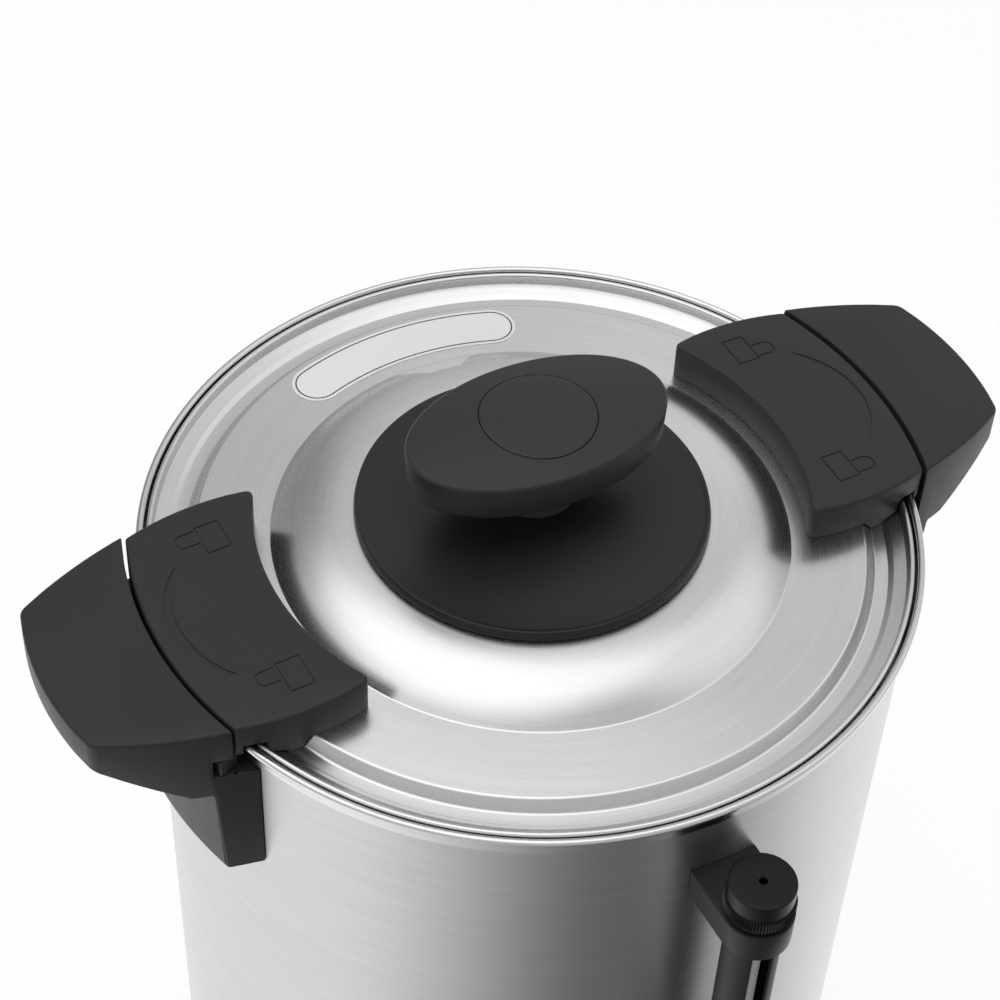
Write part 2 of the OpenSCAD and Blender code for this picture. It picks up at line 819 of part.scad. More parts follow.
// The inlet's three blades, grown by a clearance for their holes
module blades(grow) {
    for (p = [[-blade_pitch / 2, -blade_rise / 2], [blade_pitch / 2, -blade_rise / 2], [0, blade_rise]])
        translate([p[0], 0, 0])
            back_block(blade_w + 2 * grow, blade_h + 2 * grow,
                pad_y + flange_t - socket_d - socket_wall - blade_tail,
                pad_y + flange_t - socket_d + blade_l, panel_z + p[1]);
}

// Brass blades
module inlet_pins() {
    color("gold") blades(0);
}

// Screws that hold the inlet's flange
module inlet_screws() {
    color("silver") for (x = [-1, 1]) translate([x * inlet_pitch / 2, 0, 0]) {
        to_back(pad_y - inlet_screw_l, panel_z) cylinder(r = inlet_screw_r, h = inlet_screw_l + flange_t);
        to_back(pad_y + flange_t, panel_z) cylinder(r = inlet_head_r, h = inlet_head_h);
    }
}

// Snap-in switch: bezel and case in one piece, with bearings for the rocker
module switch_body() {
    color("#151515") difference() {
        union() {
            front_block(switch_w + 2 * bezel_edge, switch_h + 2 * bezel_edge, pad_y, pad_y + bezel_t,
                panel_z);
            front_block(switch_w, switch_h, pad_y - switch_d, pad_y + bezel_t / 2, panel_z);
        }
        front_block(switch_in_w, switch_in_h, pad_y - switch_d + switch_back_t, pad_y + bezel_t + past,
            panel_z);
        translate([-switch_w, -rocker_y, panel_z]) rotate([0, 90, 0])
            cylinder(r = trunnion_r + run_gap, h = 2 * switch_w);
    }
}

// Rocker at its lower stop: a seesaw with two faces that meet at a shallow angle
module rocker() {
    tilt = rocker_throw / 2;
    half = rocker_h / 2;
    color("#8c1f1f") translate([0, -rocker_y, panel_z]) rotate([-tilt, 0, 0]) {
        translate([-rocker_w / 2, 0, 0]) rotate([90, 0, 90]) linear_extrude(rocker_w)
            polygon([[-rocker_front, 0], [-rocker_front - half * tan(tilt), half], [0, half],
                     [rocker_back, half - rocker_chamfer], [rocker_back, rocker_chamfer - half], [0, -half],
                     [-rocker_front - half * tan(tilt), -half]]);
        translate([rocker_gap - switch_w / 2, 0, 0]) rotate([0, 90, 0])
            cylinder(r = trunnion_r, h = switch_w - 2 * rocker_gap);
    }
}

// Snap-in pilot lamp: barrel, flange and a domed lens
module lamp(x) {
    translate([x, 0, 0]) {
        to_front(pad_y - lamp_d, panel_z) cylinder(r = lamp_r - lamp_edge, h = lamp_d);
        to_front(pad_y, panel_z) cylinder(r = lamp_r, h = lamp_flange_t);
        to_front(pad_y + lamp_flange_t, panel_z) rotate_extrude() polygon(concat([[0, 0]],
            [for (a = [0:15:90]) [(lamp_r - lamp_edge) * cos(a), lens_h * sin(a)]]));
    }
}

// Lamp that shows that the urn heats
module red_lamp() {
    color("red") lamp(-lamp_x);
}

// Lamp that shows that the coffee is ready
module green_lamp() {
    color("green") lamp(lamp_x);
}

// ---- handles -------------------------------------------------------------------------------

// Height of the tops of ears and handles at a distance from the axis
function top_at(r) = rim_h + grip_top - (r - ear_in_r) * tan(top_fall);

// Outline of the right handle, seen from above
module handle_outline() {
    wing_in_x = sqrt(pow(wing_in_r, 2) - pow(wing_in_half, 2));
    a = [wing_in_x, wing_in_half];
    b = [wing_reach, wing_out_half];
    c = [wing_reach, -wing_out_half];
    intersection() {
        arc_disc(a, b, wing_side_bow);
        mirror([0, 1]) arc_disc(a, b, wing_side_bow);
        arc_disc(b, c, wing_end_bow);
        translate([leg_in_r / 2, -far / 2]) square([far, far]);
    }
}

// A cut that keeps everything on the +Y side of a line through the axis
module past_angle(angle, z0, z1) {
    rotate([0, 0, angle]) translate([0, 0, z0]) cube([far, far, z1 - z0]);
}

// Moulded handle: a wing to lift by and a leg that is screwed to the shell
module handle() {
    end_z = top_at(wing_reach) - wing_end_h;
    end_x = wing_reach + wing_end_bow;
    root_z = rim_h - wing_root_drop;
    leg_top_r = leg_r + leg_lean;
    difference() {
        intersection() {
            linear_extrude(2 * rim_h) handle_outline();
            union() {
                translate([0, far / 2, 0]) rotate([90, 0, 0]) linear_extrude(far)
                    polygon([[leg_in_r / 2, top_at(leg_in_r / 2)], [end_x + past, top_at(end_x + past)],
                             [end_x + past, end_z], [wing_reach, end_z], [leg_top_r, root_z],
                             [leg_in_r / 2, root_z]]);
                translate([0, 0, rim_h - leg_drop])
                    cylinder(r1 = leg_r, r2 = leg_top_r, h = leg_drop - wing_root_drop);
            }
        }
        cylinder(r = leg_in_r, h = 2 * rim_h);
        translate([0, 0, slot_floor]) cylinder(r = wing_in_r, h = rim_h);
        intersection() {
            translate([0, 0, slot_floor]) cylinder(r = slot_r, h = slot_roof - slot_floor);
            past_angle(hook_angle - slot_play, slot_floor - past, slot_roof + past);
        }
        for (z = handle_screw_z) translate([0, 0, z]) rotate([0, 90, 0])
            cylinder(r = screw_r + screw_gap, h = leg_r - handle_screw_end);
    }
}

// Handle on the +X side
module right_handle() {
    color("#39393a") handle();
}

// The same on the -X side
module left_handle() {
    color("#39393a") rotate([0, 0, 180]) handle();
}

// Screws that reach the handles from inside the shell
module handle_screws() {
    color("silver") for (side = [0, 180], z = handle_screw_z) rotate([0, 0, side])
        translate([shell_r - shell_t - clear / 2, 0, z]) rotate([0, 90, 0])
            screw(shell_t + leg_t - handle_screw_end - head_sink);
}

// ---- lid -----------------------------------------------------------------------------------

// Upper surface of the lid from the middle to the foot of its edge roll
lid_top = concat(
    [[0, dome_z], [dome_seat_r, dome_z]],
    [for (i = [1:dome_steps]) [dome_seat_r + (dome_r - dome_seat_r) * i / dome_steps,
                               dome_z - dome_h * pow(i / dome_steps, dome_power)]],
    [[ring_r, ring_z], [channel_in_r, channel_z], [channel_out_r, channel_z],
     [ridge_r, ridge_z], [web_r, web_z]]);

function lowered(points, d) = [for (i = [len(points) - 1:-1:0]) [points[i][0], points[i][1] - d]];

// Everything under the lid's upper surface, for trimming the vent's walls
module under_lid() {
    rotate_extrude($fn = 180) polygon(concat(lid_top, [[web_r, ring_z / 2], [0, ring_z / 2]]));
}

// Outline of the vent's notch, grown by a wall
module vent_outline(grow) {
    rotate(90 - vent_angle) polygon([
        [vent_r - grow, -vent_slot_w / 2 - grow], [vent_r - grow, vent_slot_w / 2 + grow],
        [dome_r + 3 * grow, vent_w / 2 + grow], [dome_r + 3 * grow, -vent_w / 2 - grow]]);
}

// Puts a shape at each of the four ear screws
module ear_screw_places() {
    for (side = [0, 180], a = [-boss_angle, boss_angle])
        rotate([0, 0, side + a]) translate([boss_at, 0, 0]) children();
}

// Pressed steel lid: raised dome, flat ring, channel and rolled edge, with a notched steam vent
module lid_plate() {
    color("gainsboro") difference() {
        union() {
            difference() {
                rotate_extrude($fn = 180) {
                    polygon(concat(lid_top, lowered(lid_top, lid_t)));
                    polygon([[web_r, web_z - lid_t], [web_r + lid_roll_r, web_z - lid_t],
                             [web_r + lid_roll_r, roll_z], [web_r, roll_z]]);
                    translate([lid_edge_r - lid_roll_r, roll_z]) circle(r = lid_roll_r);
                }
                translate([0, 0, ring_z]) linear_extrude(2 * dome_h) vent_outline(0);
            }
            intersection() {
                under_lid();
                translate([0, 0, ring_z - lid_t]) linear_extrude(2 * dome_h) difference() {
                    vent_outline(lid_t);
                    vent_outline(0);
                    rotate(90 - vent_angle) translate([dome_r - 0.5, -vent_w]) square(2 * vent_w);
                }
            }
            translate([0, 0, ring_z - lid_t]) linear_extrude(lid_t) intersection() {
                vent_outline(0);
                circle(r = dome_r, $fn = 180);
            }
        }
        rotate([0, 0, 90 - vent_angle]) translate([vent_r - drill / 4, -vent_slot_w / 2, ring_z])
            cube([drill / 4 + past, vent_slot_w, vent_slot_h]);
        translate([0, 0, dome_z - drill / 2]) cylinder(r = knob_screw_r + hole_gap, h = drill);
        ear_screw_places() translate([0, 0, ring_z - drill / 2]) cylinder(r = screw_r + hole_gap, h = drill);
    }
}

// Silicone sealing ring between the lid's edge and the vessel's seat
module lid_gasket() {
    rise = (web_z - ridge_z) / (web_r - ridge_r);
    under_in = ridge_z - lid_t + (gasket_in_r - ridge_r) * rise - gasket_gap;
    under_out = ridge_z - lid_t + (gasket_out_r - ridge_r) * rise - gasket_gap;
    color("#d8d4cc") rotate_extrude($fn = 180) polygon([
        [gasket_in_r, seat_z + gasket_gap], [gasket_out_r, seat_z + gasket_gap],
        [gasket_out_r, under_out], [gasket_in_r, under_in]]);
}

// Blank label on the lid's flat ring, with round ends
module lid_label() {
    mid = (label_in_r + label_out_r) / 2;
    end_r = (label_out_r - label_in_r) / 2;
    color("white") translate([0, 0, ring_z]) linear_extrude(label_t) {
        intersection() {
            difference() {
                circle(r = label_out_r, $fn = 180);
                circle(r = label_in_r, $fn = 180);
            }
            polygon([[0, 0], [-far * sin(label_half_angle), far * cos(label_half_angle)],
                     [far * sin(label_half_angle), far * cos(label_half_angle)]]);
        }
        for (a = [-label_half_angle, label_half_angle]) rotate(a) translate([0, mid]) circle(r = end_r);
    }
}

// ---- lid ears ------------------------------------------------------------------------------

// Outline of the right ear, seen from above
module ear_outline(inset) {
    mid_x = (ear_in_r + ear_out_r) / 2;
    half_l = (ear_out_r - ear_in_r) / 2;
    a = [mid_x - half_l, ear_half_w - inset];
    b = [mid_x + half_l, ear_half_w - inset];
    shift = ear_in_r - sqrt(pow(ear_in_r, 2) - pow(ear_half_w, 2));
    translate([-shift, 0]) intersection() {
        arc_disc(a, b, ear_bow);
        mirror([0, 1]) arc_disc(a, b, ear_bow);
    }
}

// Moulded ear: it sits on the lid's ring and channel, reaches over the rim and hooks under the wing
module ear() {
    difference() {
        union() {
            intersection() {
                linear_extrude(2 * rim_h) ear_outline(0);
                rotate_extrude($fn = 180) polygon([
                    [ear_in_r, ring_z], [ring_r + ear_seat, ring_z], [channel_in_r + ear_seat, channel_z],
                    [channel_out_r - ear_seat, channel_z], [ridge_r - ear_seat, ridge_z + clear],
                    [web_r - ear_seat, web_z + ear_seat],
                    [web_r - ear_seat, rim_h + over_rim], [skirt_in_r, rim_h + over_rim],
                    [skirt_in_r, skirt_z], [ear_out_r, skirt_z], [ear_out_r, top_at(ear_out_r) - edge_cut],
                    [ear_out_r - edge_cut, top_at(ear_out_r)], [ear_in_r + edge_cut, top_at(ear_in_r)],
                    [ear_in_r, top_at(ear_in_r) - edge_cut]]);
            }
            intersection() {
                linear_extrude(rim_h) ear_outline(0);
                past_angle(hook_angle, hook_bottom - past, rim_h);
                rotate_extrude($fn = 180) polygon([
                    [skirt_in_r, hook_bottom], [hook_r, hook_bottom], [hook_r, hook_top],
                    [ear_out_r, hook_top], [ear_out_r, skirt_z + past], [skirt_in_r, skirt_z + past]]);
            }
        }
        difference() {
            intersection() {
                translate([0, 0, ring_z - past]) linear_extrude(grip_top + ring_drop + past - ear_t)
                    ear_outline(ear_t);
                ring(ring_r - ear_t / 2, ear_in_r + ear_t, ring_z - past, top_at(ear_out_r) - ear_t);
            }
            for (a = [-boss_angle, boss_angle]) rotate([0, 0, a]) translate([boss_at, 0, ring_z])
                cylinder(r = boss_r, h = ring_z);
        }
        for (a = [-boss_angle, boss_angle]) rotate([0, 0, a]) translate([boss_at, 0, ring_z - past])
            cylinder(r = screw_r + screw_gap, h = screw_depth + 1.5 * past);
    }
}

// Ear on the +X side
module right_ear() {
    color("#39393a") ear();
}

// The same on the -X side
module left_ear() {
    color("#39393a") rotate([0, 0, 180]) ear();
}

// Screws that hold the ears from under the lid
module ear_screws() {
    color("silver") ear_screw_places() translate([0, 0, ring_z - lid_t]) screw(lid_t + screw_depth - past);
}

// ---- knob ----------------------------------------------------------------------------------

// A closed skin through a stack of ovals, each given as [height, half length, half width]
module oval_loft(levels, n = 72) {
    m = len(levels);
    points = concat(
        [for (l = levels, i = [0:n - 1]) [l[1] * cos(i * 360 / n), l[2] * sin(i * 360 / n), l[0]]],
        [[0, 0, levels[0][0]], [0, 0, levels[m - 1][0]]]);
    sides = [for (j = [0:m - 2], i = [0:n - 1])
        each [[j * n + i, (j + 1) * n + i, (j + 1) * n + (i + 1) % n],
              [j * n + i, (j + 1) * n + (i + 1) % n, j * n + (i + 1) % n]]];
    bottom = [for (i = [0:n - 1]) [m * n, i, (i + 1) % n]];
    top = [for (i = [0:n - 1]) [m * n + 1, (m - 1) * n + (i + 1) % n, (m - 1) * n + i]];
    polyhedron(points, concat(sides, bottom, top), convexity = 6);
}

// Round base of the knob, with a lip and a shallow cone
module knob_base() {
    cone_r = knob_base_r - knob_lip_w;
    cone_h = knob_base_h - knob_lip_h + knob_lip_step;
    color("#2e2e2f") difference() {
        rotate_extrude($fn = 180) polygon(concat(
            [[0, dome_z], [knob_base_r - knob_chamfer, dome_z], [knob_base_r, dome_z + knob_chamfer],
             [knob_base_r - knob_draft, dome_z + knob_lip_h]],
            [for (i = [0:knob_cone_steps]) let (t = i / knob_cone_steps)
                [cone_r - (cone_r - knob_neck_r - knob_top_over) * t,
                 dome_z + knob_base_h - cone_h * (1 - pow(t, knob_cone_power))]],
            [[0, dome_z + knob_base_h]]));
        translate([0, 0, dome_z - past]) cylinder(r = knob_screw_r + hole_gap, h = knob_base_h + 2 * past);
    }
}

// Oval grip on its waisted neck
module knob_grip() {
    z0 = dome_z + knob_base_h;
    z1 = grip_z - grip_t;
    r = knob_neck_r;
    top_a = grip_a - grip_edge_in;
    top_b = grip_b - grip_edge_in;
    color("#363637") difference() {
        oval_loft(concat(
            [[z0, r, r], [z0 + neck_waist_h, r - neck_waist, r - neck_waist],
             [z1 - grip_flare_h, r - neck_waist, r - neck_waist]],
            [for (i = [1:4]) let (t = i / 5) [z1 - grip_flare_h * (1 - 0.9 * t * (2 - t)),
                r + (grip_a - grip_flare_in - r) * t * t, r + (grip_b - grip_flare_in - r) * t * t]],
            [[z1, grip_a - grip_under_in, grip_b - grip_under_in],
             [z1 + grip_round, grip_a - grip_draft, grip_b - grip_draft],
             [grip_z - grip_bevel, grip_a, grip_b], [grip_z, top_a, top_b]],
            [for (i = [1:5]) let (t = i / 6) [grip_z + grip_crown * (1 - (1 - t) * (1 - t)),
                top_a * (1 - t), top_b * (1 - t)]],
            [[grip_z + grip_crown, 1, 1]]));
        translate([0, 0, disc_z]) cylinder(r = disc_r + disc_gap, h = grip_t);
        translate([0, 0, z0 - past]) cylinder(r = knob_screw_r + screw_gap, h = knob_thread_l + 3 * past);
    }
}

// Plain disc let into the top of the grip
module knob_disc() {
    color("#363637") translate([0, 0, disc_z]) rotate_extrude($fn = 180) polygon(concat(
        [[0, 0], [disc_r, 0], [disc_r, disc_t - disc_bevel], [disc_r - disc_bevel, disc_t]],
        [[disc_r / 2, disc_t + 0.75 * disc_crown], [0, disc_t + disc_crown]]));
}

// Screw with a broad head that holds the knob and its base from under the lid
module knob_screw() {
    color("silver") translate([0, 0, dome_z - lid_t]) {
        cylinder(r = knob_screw_r, h = knob_base_h + lid_t + knob_thread_l);
        translate([0, 0, -knob_head_h]) cylinder(r = knob_head_r, h = knob_head_h);
    }
}

// ---- sight gauge ---------------------------------------------------------------------------

// Puts a shape on the gauge's axis
module at_gauge(z) {
    translate([0, -gauge_y, z]) children();
}

// Bracket that holds the top of the gauge
module gauge_bracket() {
    color("#242425") difference() {
        union() {
            translate([-bracket_r, -gauge_y, bracket_z])
                cube([2 * bracket_r, gauge_out + bracket_root, bracket_h]);
            at_gauge(bracket_z) cylinder(r = bracket_r, h = bracket_h);
        }
        translate([0, 0, bracket_z - past]) cylinder(r = leg_in_r, h = bracket_h + 2 * past);
        at_gauge(bracket_z - past) cylinder(r = glass_r + 2 * clear, h = bracket_h + 2 * past);
        at_gauge(bracket_z - past) cylinder(r = guard_r + clear, h = guard_seat + past);
        at_gauge(bracket_seal_z) cylinder(r = spigot_r + clear / 2, h = bracket_h);
        for (x = [-1, 1]) translate([x * bracket_screw_x, 0, 0])
            to_front(shell_r - bracket_root, bracket_mid_z)
                cylinder(r = screw_r + screw_gap, h = bracket_root + bracket_screw_l + past);
    }
}

// Screw cap with a knurled ring and a breather hole
module gauge_cap() {
    spigot_z = bracket_seal_z + seal_seat;
    color("#1d1d1e") difference() {
        union() {
            at_gauge(spigot_z) cylinder(r = spigot_r, h = bracket_top - spigot_z + past);
            at_gauge(bracket_top) cylinder(r = knurl_r - 1, h = cap_neck_h);
            at_gauge(bracket_top + cap_neck_h) cylinder(r = knurl_r, h = knurl_h);
            at_gauge(cap_top - cap_h) cylinder(r = cap_r, h = cap_h);
        }
        at_gauge(spigot_z - past) cylinder(r = cap_bore_r, h = bracket_top - spigot_z + cap_neck_h + past);
        at_gauge(spigot_z) cylinder(r = breather_r, h = rim_h);
    }
}

// Borosilicate tube that shows the level
module gauge_glass() {
    color("#dfeeee", 0.4) at_gauge(glass_z) tube(glass_r, glass_r - glass_t, glass_top - glass_z);
}

// Slotted tube that shields the glass
module gauge_guard() {
    z0 = tee_top - guard_seat + guard_end_gap;
    color("#242425") at_gauge(z0) difference() {
        tube(guard_r, guard_r - guard_t, bracket_z + guard_seat - guard_end_gap - z0);
        rotate([0, 0, -guard_turn]) translate([-guard_slot_w / 2, -guard_r - past, -past])
            cube([guard_slot_w, guard_r, far]);
    }
}

// Rubber rings that seal the glass at both ends
module gauge_seals() {
    color("#111111") for (z = [bracket_seal_z, tee_top - guard_seat - seal_seat])
        at_gauge(z + clear) tube(spigot_r - seal_gap, glass_r + seal_gap, seal_seat - 2 * clear);
}

// Screws that hold the bracket from inside the shell
module bracket_screws() {
    color("silver") for (x = [-1, 1]) translate([x * bracket_screw_x, 0, 0])
        to_front(shell_r - shell_t - head_sink, bracket_mid_z) screw(bracket_screw_l);
}

// ---- tap -----------------------------------------------------------------------------------

// Puts a shape on the valve's axis
module at_valve(z) {
    translate([0, -valve_y, z]) children();
}

// Shank that goes through both walls, with its collar and the tee that the gauge stands in
module tap_shank() {
    color("lightgray") difference() {
        union() {
            to_front(shank_end, tap_z) cylinder(r = shank_r, h = collar_y + past - shank_end);
            to_front(collar_y, tap_z) cylinder(r = washer_r, h = tap_collar_t);
            to_front(collar_y, tap_z) cylinder(r = arm_r, h = union_y - collar_y);
            at_gauge(tap_z - tee_drop) cylinder(r = tee_r, h = tee_top - tap_z + tee_drop);
        }
        to_front(shank_end - past, tap_z) cylinder(r = way_r, h = union_y - shank_end + 2 * past);
        at_gauge(tap_z) cylinder(r = glass_r - glass_t, h = rim_h);
        at_gauge(glass_z) cylinder(r = glass_r + clear, h = rim_h);
        at_gauge(tee_top - guard_seat - seal_seat) cylinder(r = spigot_r, h = rim_h);
        at_gauge(tee_top - guard_seat) cylinder(r = guard_r + clear, h = rim_h);
    }
}

// Tap body: the socket that screws to the shank, and the valve chamber with its seat
module tap_body() {
    color("lightgray") difference() {
        union() {
            to_front(union_y, tap_z) cylinder(r = arm_r + union_edge, h = union_l);
            to_front(union_y, tap_z) cylinder(r = arm_r, h = valve_y - union_y);
            at_valve(spout_top) cylinder(r = chamber_r, h = bonnet_z - spout_top);
        }
        to_front(union_y - past, tap_z) cylinder(r = way_r, h = valve_y - union_y + past);
        at_valve(chamber_floor) cylinder(r = chamber_in_r, h = rim_h);
        at_valve(spout_top - past) cylinder(r = spout_in_r, h = chamber_base_t + 2 * past);
    }
}

// Plain nozzle under the valve's seat
module tap_spout() {
    color("lightgray") at_valve(spout_top - spout_l) tube(spout_r, spout_in_r, spout_l);
}

// Six-sided nut that holds the shank from inside the vessel
module tap_nut() {
    color("silver") to_front(vessel_r - vessel_t - washer_seat - washer_t - tap_nut_t, tap_z) difference() {
        cylinder(r = tap_nut_r, h = tap_nut_t, $fn = 6);
        translate([0, 0, -past]) cylinder(r = shank_r + screw_gap, h = tap_nut_t + 2 * past);
    }
}

// Silicone washers that seal the shank, one in the vessel and one outside the shell
module tap_washers() {
    color("#c9c4b8") for (y = [vessel_r - vessel_t - washer_seat - washer_t, shell_r + clear])
        to_front(y, tap_z) tube(washer_r, shank_r + screw_gap, washer_t);
}

// Screw-in bonnet that guides the stem
module tap_bonnet() {
    color("#242425") difference() {
        union() {
            at_valve(bonnet_z) cylinder(r = chamber_r + bonnet_edge, h = bonnet_h);
            at_valve(bonnet_z - plug_l) cylinder(r = chamber_in_r - plug_gap, h = plug_l + past);
        }
        at_valve(bonnet_z - plug_l - past) cylinder(r = stem_r + run_gap, h = rim_h);
    }
}

// Points of one ring of the spring's wire
function coil_ring(turn, z, n) = [for (i = [0:n - 1])
    let (a = i * 360 / n, r = spring_r - wire_r + wire_r * cos(a))
    [r * cos(turn * 360), r * sin(turn * 360), z + wire_r * sin(a)]];

// Spring that pushes the cup down on the seat
module tap_spring() {
    z0 = cup_z + cup_h + wire_r;
    z1 = bonnet_z - plug_l - wire_r;
    n = 6;
    steps = 16 * spring_turns;
    points = [for (k = [0:steps]) each coil_ring(k / 16, z0 + (z1 - z0) * k / steps, n)];
    sides = [for (k = [0:steps - 1], i = [0:n - 1])
        each [[k * n + i, k * n + (i + 1) % n, (k + 1) * n + (i + 1) % n],
              [k * n + i, (k + 1) * n + (i + 1) % n, (k + 1) * n + i]]];
    ends = [for (i = [1:n - 2]) each [[0, i + 1, i],
        [steps * n, steps * n + i, steps * n + i + 1]]];
    color("silver") at_valve(0) polyhedron(points, concat(sides, ends), convexity = 8);
}

// Stem with a flat tongue for the lever's pin
module valve_stem() {
    color("silver") difference() {
        union() {
            at_valve(cup_z + cup_base_t) cylinder(r = stem_r, h = bonnet_z - cup_z - cup_base_t);
            intersection() {
                at_valve(bonnet_z - past) cylinder(r = stem_r, h = pivot_z + tongue_top - bonnet_z + past);
                translate([-tongue_t / 2, -valve_y - 2 * stem_r, bonnet_z - past])
                    cube([tongue_t, 4 * stem_r, rim_h]);
            }
        }
        translate([-tongue_t, -valve_y, pivot_z]) rotate([0, 90, 0])
            cylinder(r = pin_r + run_gap, h = 2 * tongue_t);
    }
}

// Silicone cup that closes the valve's seat
module valve_cup() {
    color("#c9c4b8") at_valve(cup_z) difference() {
        cylinder(r = cup_r, h = cup_h);
        translate([0, 0, cup_base_t]) cylinder(r = stem_r + cup_gap, h = cup_h);
    }
}

// Lever with two cam cheeks that lift the stem when the lever is pulled forward
module tap_lever() {
    color("#1d1d1e") difference() {
        union() {
            translate([-hub_half, -valve_y - cam_off, pivot_z]) rotate([0, 90, 0])
                cylinder(r = cam_r, h = 2 * hub_half);
            translate([-hub_half, -valve_y - cam_off - hub_front, pivot_z])
                cube([2 * hub_half, hub_l, hub_h]);
            at_valve(pivot_z + hub_h - 2) translate([0, hub_l / 2 - hub_front - cam_off, 0])
                rotate_extrude() polygon(concat(
                    [[0, 0], [stalk_base_r, 0], [stalk_waist_r, stalk_waist_z], [stalk_r, lever_l / 2],
                     [stalk_top_r, lever_l - stalk_shoulder]],
                    [for (a = [0:15:90]) [stalk_top_r * cos(a),
                                          lever_l - stalk_shoulder + stalk_top_r * sin(a)]]));
        }
        translate([-lever_slot_half, -valve_y - 2 * hub_l, pivot_z - 2 * hub_h])
            cube([2 * lever_slot_half, 4 * hub_l, bridge_h + 2 * hub_h]);
        translate([-2 * hub_half, -valve_y, pivot_z]) rotate([0, 90, 0])
            cylinder(r = pin_r + run_gap / 2, h = 4 * hub_half);
    }
}

// Steel pin through the lever and the stem
module lever_pin() {
    half = hub_half - pin_inset;
    color("silver") translate([-half, -valve_y, pivot_z]) rotate([0, 90, 0])
        cylinder(r = pin_r, h = 2 * half);
}

// ---- percolator ----------------------------------------------------------------------------

// Pump tube with the collar that carries the basket
module pump_tube() {
    color("silver") difference() {
        union() {
            translate([0, 0, tube_z]) cylinder(r = tube_r, h = tube_top - tube_z);
            translate([0, 0, basket_floor - tube_collar_t]) cylinder(r = tube_collar_r, h = tube_collar_t);
        }
        translate([0, 0, tube_z - past]) cylinder(r = tube_r - tube_t, h = far);
    }
}

// Bell foot that stands in the well and traps the steam
module pump_foot() {
    color("silver") difference() {
        translate([0, 0, well_z]) rotate_extrude() polygon([
            [pump_r - pump_wall, 0], [pump_r, 0], [pump_r, pump_rim_h], [tube_r + pump_top_w, pump_h],
            [tube_r + clear / 2, pump_h], [tube_r + clear / 2, pump_h - pump_grip],
            [tube_r + pump_top_w - pump_wall, pump_h - pump_slope_t],
            [pump_r - pump_wall, pump_rim_h - 2 * clear]]);
        for (a = [0:90:270]) rotate([0, 0, a]) translate([0, -pump_rim_h, well_z - past])
            cube([2 * pump_r, 2 * pump_rim_h, pump_gate_h + past]);
    }
}

// Holes in rings, out to a radius
module sieve(r_out) {
    for (ring_at = [hole_ring_r:hole_pitch:r_out - hole_margin]) for (i = [0:1:floor(ring_at / 2) - 1])
        rotate([0, 0, i * 360 / floor(ring_at / 2)]) translate([ring_at, 0, -drill / 2])
            cylinder(r = hole_r, h = drill, $fn = 24);
}

// Perforated basket for the ground coffee, with a sleeve for the tube
module coffee_basket() {
    color("silver") translate([0, 0, basket_floor]) difference() {
        union() {
            cylinder(r = basket_r, h = basket_t);
            tube(basket_r, basket_r - basket_t, basket_h);
            tube(tube_r + tube_gap + sleeve_t, tube_r + tube_gap, basket_h - past);
        }
        translate([0, 0, -past]) cylinder(r = tube_r + tube_gap, h = basket_t + 2 * past);
        sieve(basket_r);
    }
}

// Water spreader that lies on the basket
module basket_cover() {
    color("silver") translate([0, 0, basket_floor + basket_h]) difference() {
        union() {
            cylinder(r = basket_r + tube_gap + sleeve_t, h = basket_t);
            translate([0, 0, -cover_skirt]) tube(basket_r + tube_gap + sleeve_t, basket_r + tube_gap,
                cover_skirt + basket_t / 2);
        }
        translate([0, 0, -past]) cylinder(r = tube_r + tube_gap, h = basket_t + 2 * past);
        sieve(basket_r);
    }
}

outer_shell();
inner_vessel();
base_housing();
bottom_cover();
feet();
foot_studs();
foot_nuts();
base_screws();
ring_heater();
thermostat();
thermal_cutout();
power_inlet();
inlet_pins();
inlet_screws();
switch_body();
rocker();
red_lamp();
green_lamp();
left_handle();
right_handle();
handle_screws();
gauge_bracket();
gauge_cap();
gauge_glass();
gauge_guard();
gauge_seals();
bracket_screws();
tap_shank();
tap_body();
tap_spout();
tap_nut();
tap_washers();
tap_bonnet();
tap_spring();
valve_stem();
valve_cup();
tap_lever();
lever_pin();
pump_tube();
pump_foot();
coffee_basket();
basket_cover();
lid_gasket();
lid_plate();
lid_label();
knob_base();
knob_grip();
knob_disc();
knob_screw();
left_ear();
right_ear();
ear_screws();
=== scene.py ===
import math

import bpy
from mathutils import Matrix, Vector


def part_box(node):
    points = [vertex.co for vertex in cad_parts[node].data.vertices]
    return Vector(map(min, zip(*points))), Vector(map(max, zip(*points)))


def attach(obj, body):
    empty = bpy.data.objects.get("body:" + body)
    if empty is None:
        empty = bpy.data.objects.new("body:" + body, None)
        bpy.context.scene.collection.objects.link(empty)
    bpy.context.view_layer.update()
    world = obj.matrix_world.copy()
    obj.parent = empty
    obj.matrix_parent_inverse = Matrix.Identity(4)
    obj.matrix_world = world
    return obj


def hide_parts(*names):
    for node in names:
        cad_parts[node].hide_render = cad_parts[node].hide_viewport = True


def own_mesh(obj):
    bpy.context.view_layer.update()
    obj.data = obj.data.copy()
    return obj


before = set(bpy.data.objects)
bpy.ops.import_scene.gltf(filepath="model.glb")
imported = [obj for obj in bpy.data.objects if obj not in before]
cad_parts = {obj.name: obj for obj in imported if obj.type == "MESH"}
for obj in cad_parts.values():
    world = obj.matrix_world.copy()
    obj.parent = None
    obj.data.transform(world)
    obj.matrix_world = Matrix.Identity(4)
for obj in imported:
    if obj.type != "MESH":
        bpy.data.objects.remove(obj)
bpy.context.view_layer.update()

# ---- camera ----------------------------------------------------------
# A long lens looks down on the lid from the front left, near enough to leave out the urn's
# lower half.
rim_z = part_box("inner_vessel")[1].z
view_turn = math.radians(-29.857)
view_rise = math.radians(46.035)
view_roll = math.radians(2.79)
view_place = Vector((-0.3211, -0.5350, rim_z + 0.6579))

